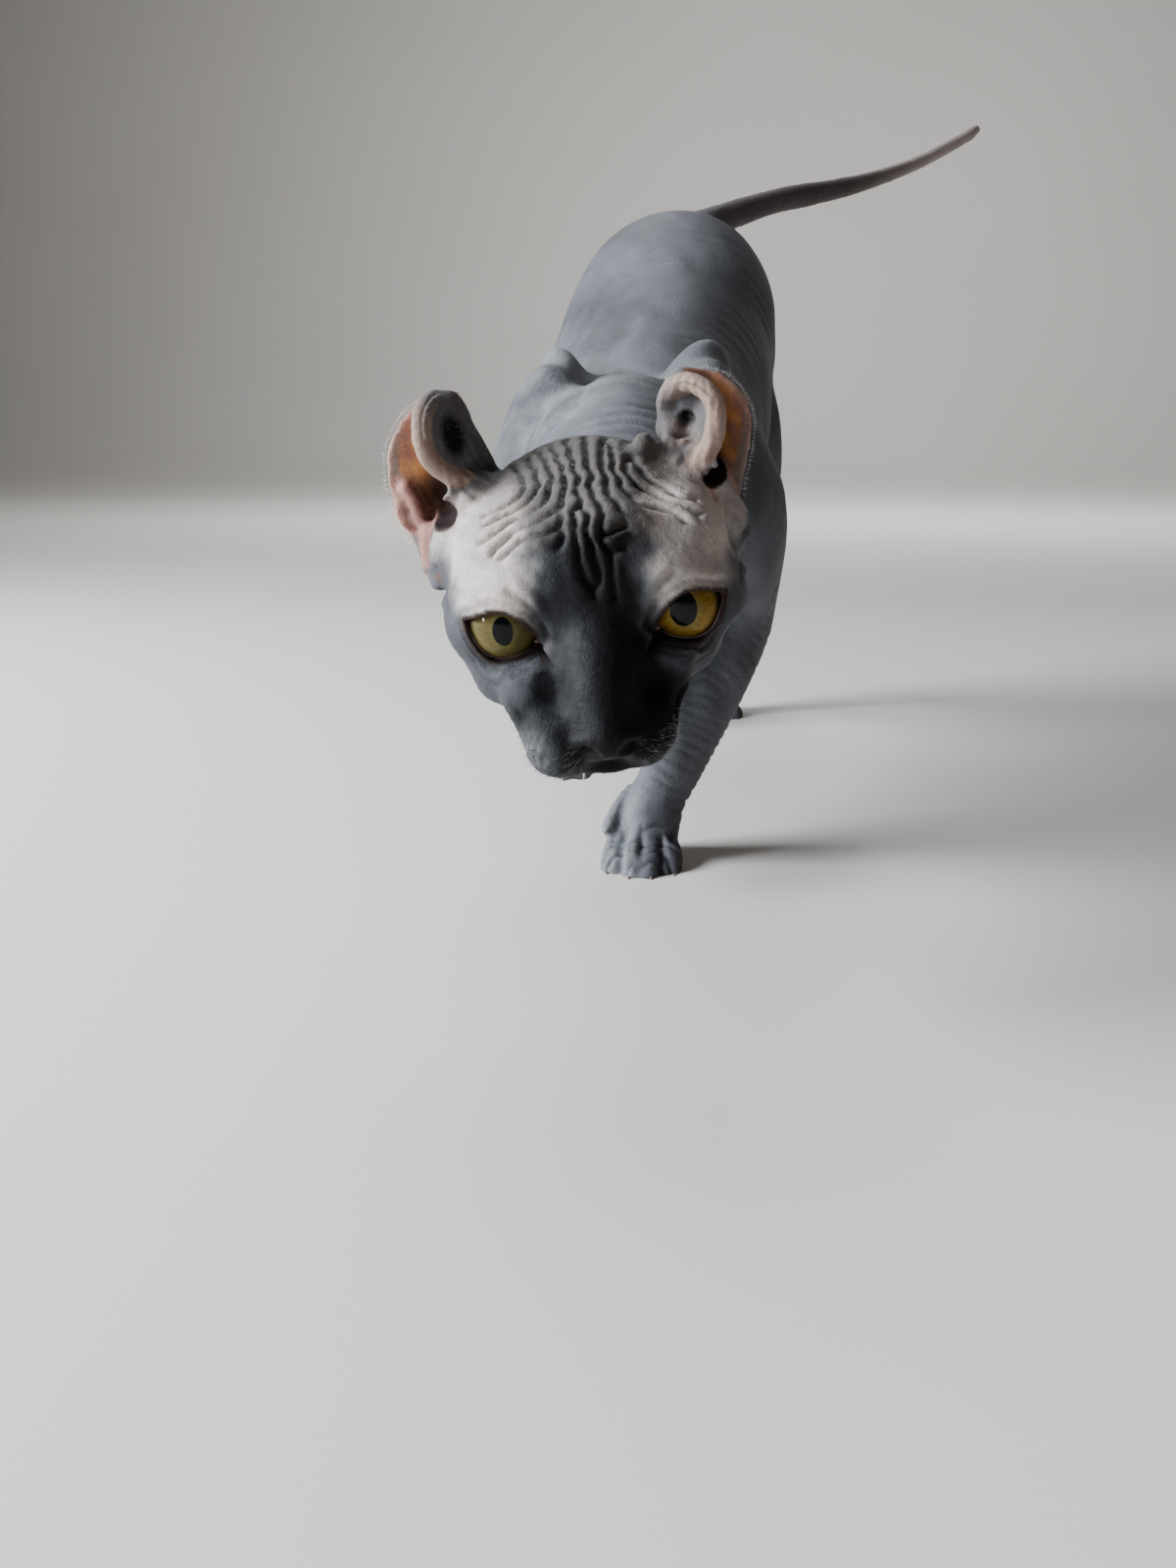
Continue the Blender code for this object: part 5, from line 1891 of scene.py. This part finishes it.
@dataclass(frozen=True)
class MoistFinish:
    """The wet edge of the lids."""

    colour: Three = (0.16, 0.06, 0.05)
    dark: Three = (0.03, 0.012, 0.012)

    def build(self) -> bpy.types.Material:
        """Makes the material.

        Returns:
            The material.
        """
        nodes = Nodes("wet lid edge")
        mottle = nodes.noise(700)
        return nodes.finish(
            Base_Color=nodes.blend(mottle, self.colour, self.dark),
            Normal=nodes.bump(mottle, 0.3, 0.0002),
            Roughness=0.12,
            Coat_Weight=0.8,
            Coat_Roughness=0.05,
        )


@dataclass(frozen=True)
class ClawFinish:
    """Horn, pale at the tip and darker at the quick."""

    horn: Three = (0.58, 0.50, 0.46)
    quick: Three = (0.20, 0.13, 0.12)

    def build(self) -> bpy.types.Material:
        """Makes the material from how far along its claw each point is.

        Returns:
            The material.
        """
        nodes = Nodes("claw horn")
        layers = nodes.noise(900)
        pale = nodes.sum("MULTIPLY", nodes.attribute("along"), nodes.sum("ADD", layers, 0.4), True)
        return nodes.finish(
            Base_Color=nodes.blend(pale, self.quick, self.horn),
            Normal=nodes.bump(layers, 0.3, 0.0002),
            Roughness=0.32,
        )


@dataclass(frozen=True)
class FuzzFinish:
    """Fine hair that catches the light."""

    name: str
    root: Three
    tip: Three

    def build(self) -> bpy.types.Material:
        """Makes the material from how far along its hair each point is.

        Returns:
            The material.
        """
        nodes = Nodes(self.name)
        mixed = nodes.blend(nodes.attribute("along"), self.root, self.tip)
        varied = nodes.times(nodes.noise(240, 2, 0.5), 0.5)
        return nodes.finish(
            Base_Color=nodes.blend(varied, mixed, self.root), Roughness=0.6, Sheen_Weight=0.3
        )


# ---------------------------------------------------------------- eyes


@dataclass(frozen=True)
class Eye:
    """An eyeball with its bulging cornea, painted iris and the wet edge of its lids."""

    lids: Lids
    iris: float = 8.2
    cornea: float = 8.0
    bulge: float = 0.75
    edge: float = 0.42
    corner: float = 0.35

    def ball(self) -> Piece:
        """Makes the eyeball, its pole along the gaze.

        Returns:
            The eyeball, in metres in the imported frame.
        """
        side = self.lids.side
        ball = globe(self.lids.ball, 96, 64)
        ball.name = ball.data.name = "eyeball_" + side.name.lower()
        points = points_of(ball)
        x, y, z = points.T
        away, around = np.hypot(x, y), np.arctan2(y, x)
        raised = np.where(z > 0, self.bulge * np.clip(1 - (away / self.cornea) ** 2, 0, 1), 0)
        pupil = np.hypot(x / self.lids.pupil[0], y / self.lids.pupil[1])
        spoke = np.column_stack([np.cos(around) * 4, np.sin(around) * 4, away * 0.12])
        set_points(ball, points * (1 + raised / self.lids.ball)[:, None])
        store(ball, "ring", np.where(z > 0, away / self.iris, 2.0))
        store(ball, "pupil", np.where(z > 0, pupil, 9.0))
        store(ball, "shade", ease(5.5, -2.5, y) * 0.65 + 0.35)
        layer = ball.data.attributes.new("spoke", "FLOAT_VECTOR", "POINT")
        layer.data.foreach_set("vector", spoke.ravel())
        ball.data.transform(
            STANCE.head()
            @ Matrix.Translation((side.value * STANCE.eye_apart, 0, 0))
            @ turned(-side.value * self.lids.gaze[1], "Z")
            @ turned(90 - self.lids.gaze[0], "X")
        )
        STANCE.set_down(ball)
        smooth(ball)
        ball.data.materials.append(EYE_FINISHES[side].build())
        return ball

    def wet_edge(self) -> Piece:
        """A thin roll of moist skin and tears between the ball and its lids.

        Returns:
            The roll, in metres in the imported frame.
        """
        ring = self.lids.outline(self.lids.ball + 0.2, 24)
        count, sides = len(ring), 8
        inner = self.lids.side.value * ring[:, 0] < -self.lids.wide * 0.40
        points = []
        for k in range(count):
            ahead = ring[(k + 1) % count] - ring[k - 1]
            ahead /= np.linalg.norm(ahead)
            out = ring[k] / np.linalg.norm(ring[k])
            across = np.cross(ahead, out)
            radius = self.edge + (self.corner if inner[k] else 0.0)
            for c, s in circle(sides):
                points.append(tuple(ring[k] + radius * (across * c + 0.6 * out * s)))
        roll = new_piece("wet_lid_edge", points, tube(count, sides, True))
        face_out(roll)
        corner = -self.lids.side.value * (self.lids.wide / 2 - 1.9)
        at = (corner, -math.sqrt(self.lids.ball**2 - corner**2) - 0.1, -0.1)
        tear = lump(Matrix.Identity(4), at, (1.9, 0.9, 0.85))
        roll = join("wet_lid_edge_" + self.lids.side.name.lower(), [roll, tear])
        smooth(roll)
        roll.data.transform(STANCE.eye(self.lids.side))
        STANCE.set_down(roll)
        roll.data.materials.append(MoistFinish().build())
        return roll


# ---------------------------------------------------------------- claws


@dataclass(frozen=True)
class Claws:
    """Small claws, mostly in their sheaths, one at the end of each toe."""

    length: float = 5.0
    thick: float = 1.15
    ahead: float = 11.0
    above: float = 5.2
    tilt: float = 112.0
    spread: float = 1.04
    splay: float = 6.0

    def build(self) -> Piece:
        """Makes all the claws as one piece.

        Returns:
            The claws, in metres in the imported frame.
        """
        whole = join("claws", [self.claw(paw, *toe) for paw in PAWS for toe in paw.toes])
        STANCE.set_down(whole)
        whole.data.materials.clear()
        whole.data.materials.append(ClawFinish().build())
        return whole

    def claw(self, paw: Paw, step: float, along: float) -> Piece:
        """Makes one claw, a cone that hooks down.

        Args:
            paw: The paw that carries it.
            step: Its toe's place across the paw, in toes.
            along: Its toe's place along the paw.

        Returns:
            The claw, in the cat's axes.
        """
        deselect()
        bpy.ops.mesh.primitive_cone_add(vertices=12, radius1=self.thick, radius2=0.12,
            depth=self.length)
        claw = newest()
        pick(claw)
        bpy.ops.object.mode_set(mode="EDIT")
        bpy.ops.mesh.select_all(action="SELECT")
        bpy.ops.mesh.subdivide(number_cuts=3)
        bpy.ops.object.mode_set(mode="OBJECT")
        points = points_of(claw)
        share = np.clip(points[:, 2] / self.length + 0.5, 0, 1)
        store(claw, "along", share)
        points[:, 0] *= 0.6
        points[:, 1] += 1.1 * share**2
        set_points(claw, points)
        at = (step * paw.toe_spread * self.spread, along - self.ahead, self.above)
        claw.data.transform(
            paw.axes()
            @ Matrix.Translation(at)
            @ turned(-step * self.splay, "Z")
            @ turned(self.tilt, "X")
        )
        smooth(claw)
        return claw


# ---------------------------------------------------------------- hair


@dataclass(frozen=True)
class Hairs:
    """Fine tufts that break the form, as slim three-sided spikes."""

    name: str
    finish: FuzzFinish
    sunk: float = 0.5
    sag: float = 0.22

    def build(self, roots: list[tuple[Vector, Vector, float, float]]) -> Piece:
        """Makes the hairs, each with its own patch of the unwrap at its root's place.

        Args:
            roots: Each hair's root, direction, length and thickness.

        Returns:
            The hairs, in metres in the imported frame.
        """
        dice = random.Random(7)
        points, faces, along, patches = [], [], [], []
        for root, way, length, thick in roots:
            way = way.normalized()
            side = way.orthogonal().normalized()
            other = way.cross(side)
            sag = Vector((dice.uniform(-1, 1), dice.uniform(-1, 1), dice.uniform(-1, 0.4)))
            sag = sag * length * self.sag
            start = len(points)
            for level, share in ((0.0, 1.0), (0.55, 0.7)):
                middle = root + way * (length * level - self.sunk) + sag * level * level
                points += [middle + (side * c + other * s) * thick * share for c, s in circle(3)]
            points.append(root + way * (length - self.sunk) + sag)
            along += [0.0] * 3 + [0.55] * 3 + [1.0]
            faces.append((start + 2, start + 1, start))
            for k in range(3):
                n = (k + 1) % 3
                faces.append((start + k, start + n, start + 3 + n, start + 3 + k))
                faces.append((start + 3 + k, start + 3 + n, start + 6))
            out = root - HEAD_AT
            height = max(-1.0, min(1.0, out.z / max(out.length, 1e-6)))
            u = 0.5 + math.atan2(out.x, -out.y) / (2 * math.pi)
            patches.append((u, 0.5 + math.asin(height) / math.pi))
        piece = new_piece(self.name, points, faces)
        store(piece, "along", along)
        self.unwrap(piece, patches)
        STANCE.set_down(piece)
        piece.data.materials.append(self.finish.build())
        return piece

    def unwrap(self, piece: Piece, patches: list[tuple[float, float]]) -> None:
        """Lays each hair in a patch 0.003 across at its root's place on the head's unwrap.

        Args:
            piece: The hairs, seven vertices each.
            patches: Each hair's place on the unwrap.
        """
        step = 0.0015
        layer = piece.data.uv_layers.new(name="OFBake")
        spots = []
        for u, v in patches:
            u, v = min(max(u, 0.002), 0.995), min(max(v, 0.002), 0.995)
            for k, level in enumerate((0, 0, 0, 1, 1, 1, 2)):
                spots.append((u + step * level, v + step * (k % 3)))
        corners = np.empty(len(piece.data.loops), int)
        piece.data.loops.foreach_get("vertex_index", corners)
        layer.data.foreach_set("uv", np.array(spots)[corners].ravel())


@dataclass(frozen=True)
class EarFuzz:
    """The halo of fine hair along the rims and tips of the ears."""

    each: int = 1300

    def build(self) -> Piece:
        """Makes the fuzz of both ears.

        Returns:
            The fuzz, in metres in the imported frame.
        """
        dice = random.Random(11)
        roots = []
        for ear in EARS:
            grid = ear.sheet(60, 40)
            rows, columns = grid.shape[0] - 1, grid.shape[1] - 1
            mouth = (grid[:, 0] + grid[:, -1]) / 2
            for _ in range(self.each):
                kind = dice.random()
                if kind < 0.4:
                    i, j = dice.randint(10, rows - 6), columns
                elif kind < 0.7:
                    i, j = dice.randint(24, rows - 6), 0
                else:
                    i, j = dice.randint(20, rows - 4), dice.randint(4, columns)
                root = Vector(grid[i, j])
                step = Vector(grid[i + 1, j] - grid[i - 1, j]).normalized()
                out = (root - Vector(mouth[i])).normalized()
                way = out * 0.8 + step * 0.5 + jitter(dice) * 0.4
                root = root + out * (ear.edge if j == 0 else 0.8) * 0.8
                length, thick = dice.uniform(0.5, 1.6) + 0.5, dice.uniform(0.028, 0.048)
                roots.append((root, way, length, thick))
        fuzz = FuzzFinish("pale fuzz", (0.20, 0.17, 0.16), (0.62, 0.58, 0.55))
        return Hairs("ear_fuzz", fuzz).build(roots)


@dataclass(frozen=True)
class Stubble:
    """Broken whiskers and short bristles on the muzzle and chin."""

    def build(self, skin: Piece) -> Piece:
        """Sets the bristles on the skin.

        Args:
            skin: The finished skin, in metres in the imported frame.

        Returns:
            The bristles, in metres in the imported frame.
        """
        dice = random.Random(23)
        shift = STANCE.shift()
        points = points_of(skin) / MM - np.array(shift)
        normals = normals_of(skin)
        local = STANCE.on_head(points)
        x, y, z = local.T
        pads = (np.abs(x) > 6.5) & (np.abs(x) < 22) & (y < -18) & (z < -16.5) & (z > -27)
        chin = (np.abs(x) < 10) & (y < -18) & (z < -29)
        roots = []
        turn = STANCE.head().to_3x3()
        for spots, count, low, high in ((pads, 620, 0.7, 1.9), (chin, 160, 0.6, 1.4)):
            chosen = np.flatnonzero(spots)
            for _ in range(count):
                k = int(chosen[dice.randrange(len(chosen))])
                side = math.copysign(1, x[k])
                back = turn @ Vector((side * 0.8, 0.5, -0.35))
                way = Vector(normals[k]) * 0.6 + back * 0.8 + jitter(dice) * 0.25
                length, thick = dice.uniform(low, high) + 0.5, dice.uniform(0.04, 0.075)
                roots.append((Vector(points[k]), way, length, thick))
        stubble = FuzzFinish("grey stubble", (0.04, 0.04, 0.045), (0.30, 0.31, 0.34))
        return Hairs("muzzle_stubble", stubble).build(roots)


# ---------------------------------------------------------------- studio


@dataclass(frozen=True)
class Studio:
    """A pale floor, soft window-like light and the camera."""

    eye_point: Three = (47.5, -518.7, 143.8)
    heading: float = 8.5
    dip: float = 15.0
    lens: float = 27.0

    def floor(self) -> Piece:
        """A floor that sweeps up far behind the cat.

        Returns:
            The floor.
        """
        deselect()
        bpy.ops.mesh.primitive_plane_add(size=1.0, location=(0, 0, 0))
        floor = newest()
        floor.name = floor.data.name = "floor"
        set_points(floor, np.array([(-6, -5, 0), (6, -5, 0), (-6, 4, 0), (6, 4, 0)], float))
        bpy.ops.object.mode_set(mode="EDIT")
        bpy.ops.mesh.select_all(action="DESELECT")
        bpy.ops.object.mode_set(mode="OBJECT")
        for edge in floor.data.edges:
            edge.select = all(floor.data.vertices[v].co.y > 3 for v in edge.vertices)
        bpy.ops.object.mode_set(mode="EDIT")
        bpy.ops.mesh.select_mode(type="EDGE")
        for back, rise in ((0.8, 0.15), (0.6, 0.5), (0.3, 1.0), (0.0, 3.0)):
            bpy.ops.mesh.extrude_region_move(TRANSFORM_OT_translate={"value": (0, back, rise)})
        bpy.ops.object.mode_set(mode="OBJECT")
        sweep = floor.modifiers.new("sweep", "SUBSURF")
        sweep.levels = sweep.render_levels = 2
        bake_modifiers(floor)
        smooth(floor)
        nodes = Nodes("pale floor")
        colour = nodes.blend(nodes.noise(1.2, 3, 0.5), (0.60, 0.58, 0.555), (0.66, 0.64, 0.62))
        floor.data.materials.append(nodes.finish(Base_Color=colour, Roughness=0.75))
        return floor

    def light(
        self,
        name: str,
        place: Three,
        size: tuple[float, float],
        power: float,
        colour: Three,
        aim: Three = (0, -0.12, 0.14),
    ) -> None:
        """Hangs a soft light.

        Args:
            name: The light's name.
            place: Where it hangs, in metres.
            size: Its width and height in metres.
            power: Its power in watts.
            colour: Its colour.
            aim: The point it faces, in metres.
        """
        lamp = bpy.data.lights.new(name, "AREA")
        lamp.shape, lamp.size, lamp.size_y = "RECTANGLE", *size
        lamp.energy, lamp.color = power, colour
        holder = bpy.data.objects.new(name, lamp)
        holder.location = place
        holder.rotation_euler = (Vector(aim) - Vector(place)).to_track_quat("-Z", "Y").to_euler()
        bpy.context.scene.collection.objects.link(holder)

    def build(self) -> None:
        """Sets up the floor, the lights, the surroundings and the camera."""
        self.floor()
        self.light("window", (-1.36, -0.55, 0.70), (0.7, 0.7), 78.0, (0.94, 0.98, 1.0))
        self.light("pane", (-1.108, -1.065, 0.20), (0.11, 0.18), 4.5, (0.96, 0.98, 1.0),
            (-0.05, -0.27, 0.115))
        self.light("overhead", (-0.5, 0.7, 1.6), (1.0, 0.8), 16.0, (0.95, 0.98, 1.0))
        self.light("warm side", (1.4, -0.4, 0.7), (0.9, 0.7), 2.0, (1.0, 0.76, 0.55))
        self.light("backdrop", (0.0, 1.9, 1.9), (2.5, 0.6), 110.0, (1.0, 0.99, 0.97),
            (0.0, 4.2, 0.5))
        world = bpy.data.worlds.new("soft room")
        world.use_nodes = True
        ground = world.node_tree.nodes["Background"]
        ground.inputs["Color"].default_value = (0.86, 0.88, 0.92, 1)
        ground.inputs["Strength"].default_value = 0.09
        bpy.context.scene.world = world
        lens = bpy.data.cameras.new("camera")
        lens.lens, lens.sensor_width, lens.sensor_fit = self.lens, 36.0, "AUTO"
        lens.clip_start = 0.01
        camera = bpy.data.objects.new("camera", lens)
        camera.location = (Vector(self.eye_point) + STANCE.shift()) * MM
        turn, dip = math.radians(self.heading), math.radians(self.dip)
        flat = math.cos(dip)
        look = Vector((-math.sin(turn) * flat, math.cos(turn) * flat, -math.sin(dip)))
        camera.rotation_euler = look.to_track_quat("-Z", "Y").to_euler()
        bpy.context.scene.collection.objects.link(camera)
        bpy.context.scene.camera = camera


def settle(piece: Piece) -> Piece:
    """Makes a piece ride on the cat's one body, and logs its faces.

    Args:
        piece: The piece.

    Returns:
        The piece.
    """
    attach(piece, "root")
    LOG.info("%s: %d faces", piece.name, len(piece.data.polygons))
    return piece


def main() -> None:
    """Builds the cat piece by piece, then the studio around it."""
    logging.basicConfig(level=logging.INFO, format="%(message)s")
    hide = Skin()
    skin = settle(hide.build())
    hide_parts(*hide.flesh())
    for lids in LIDS:
        eye = Eye(lids)
        ball = settle(eye.ball())
        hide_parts("eye_" + lids.side.name.lower())
        settle(eye.wet_edge())
    settle(Claws().build())
    settle(EarFuzz().build())
    settle(Stubble().build(skin))
    Studio().build()


if __name__ == "__main__":
    main()
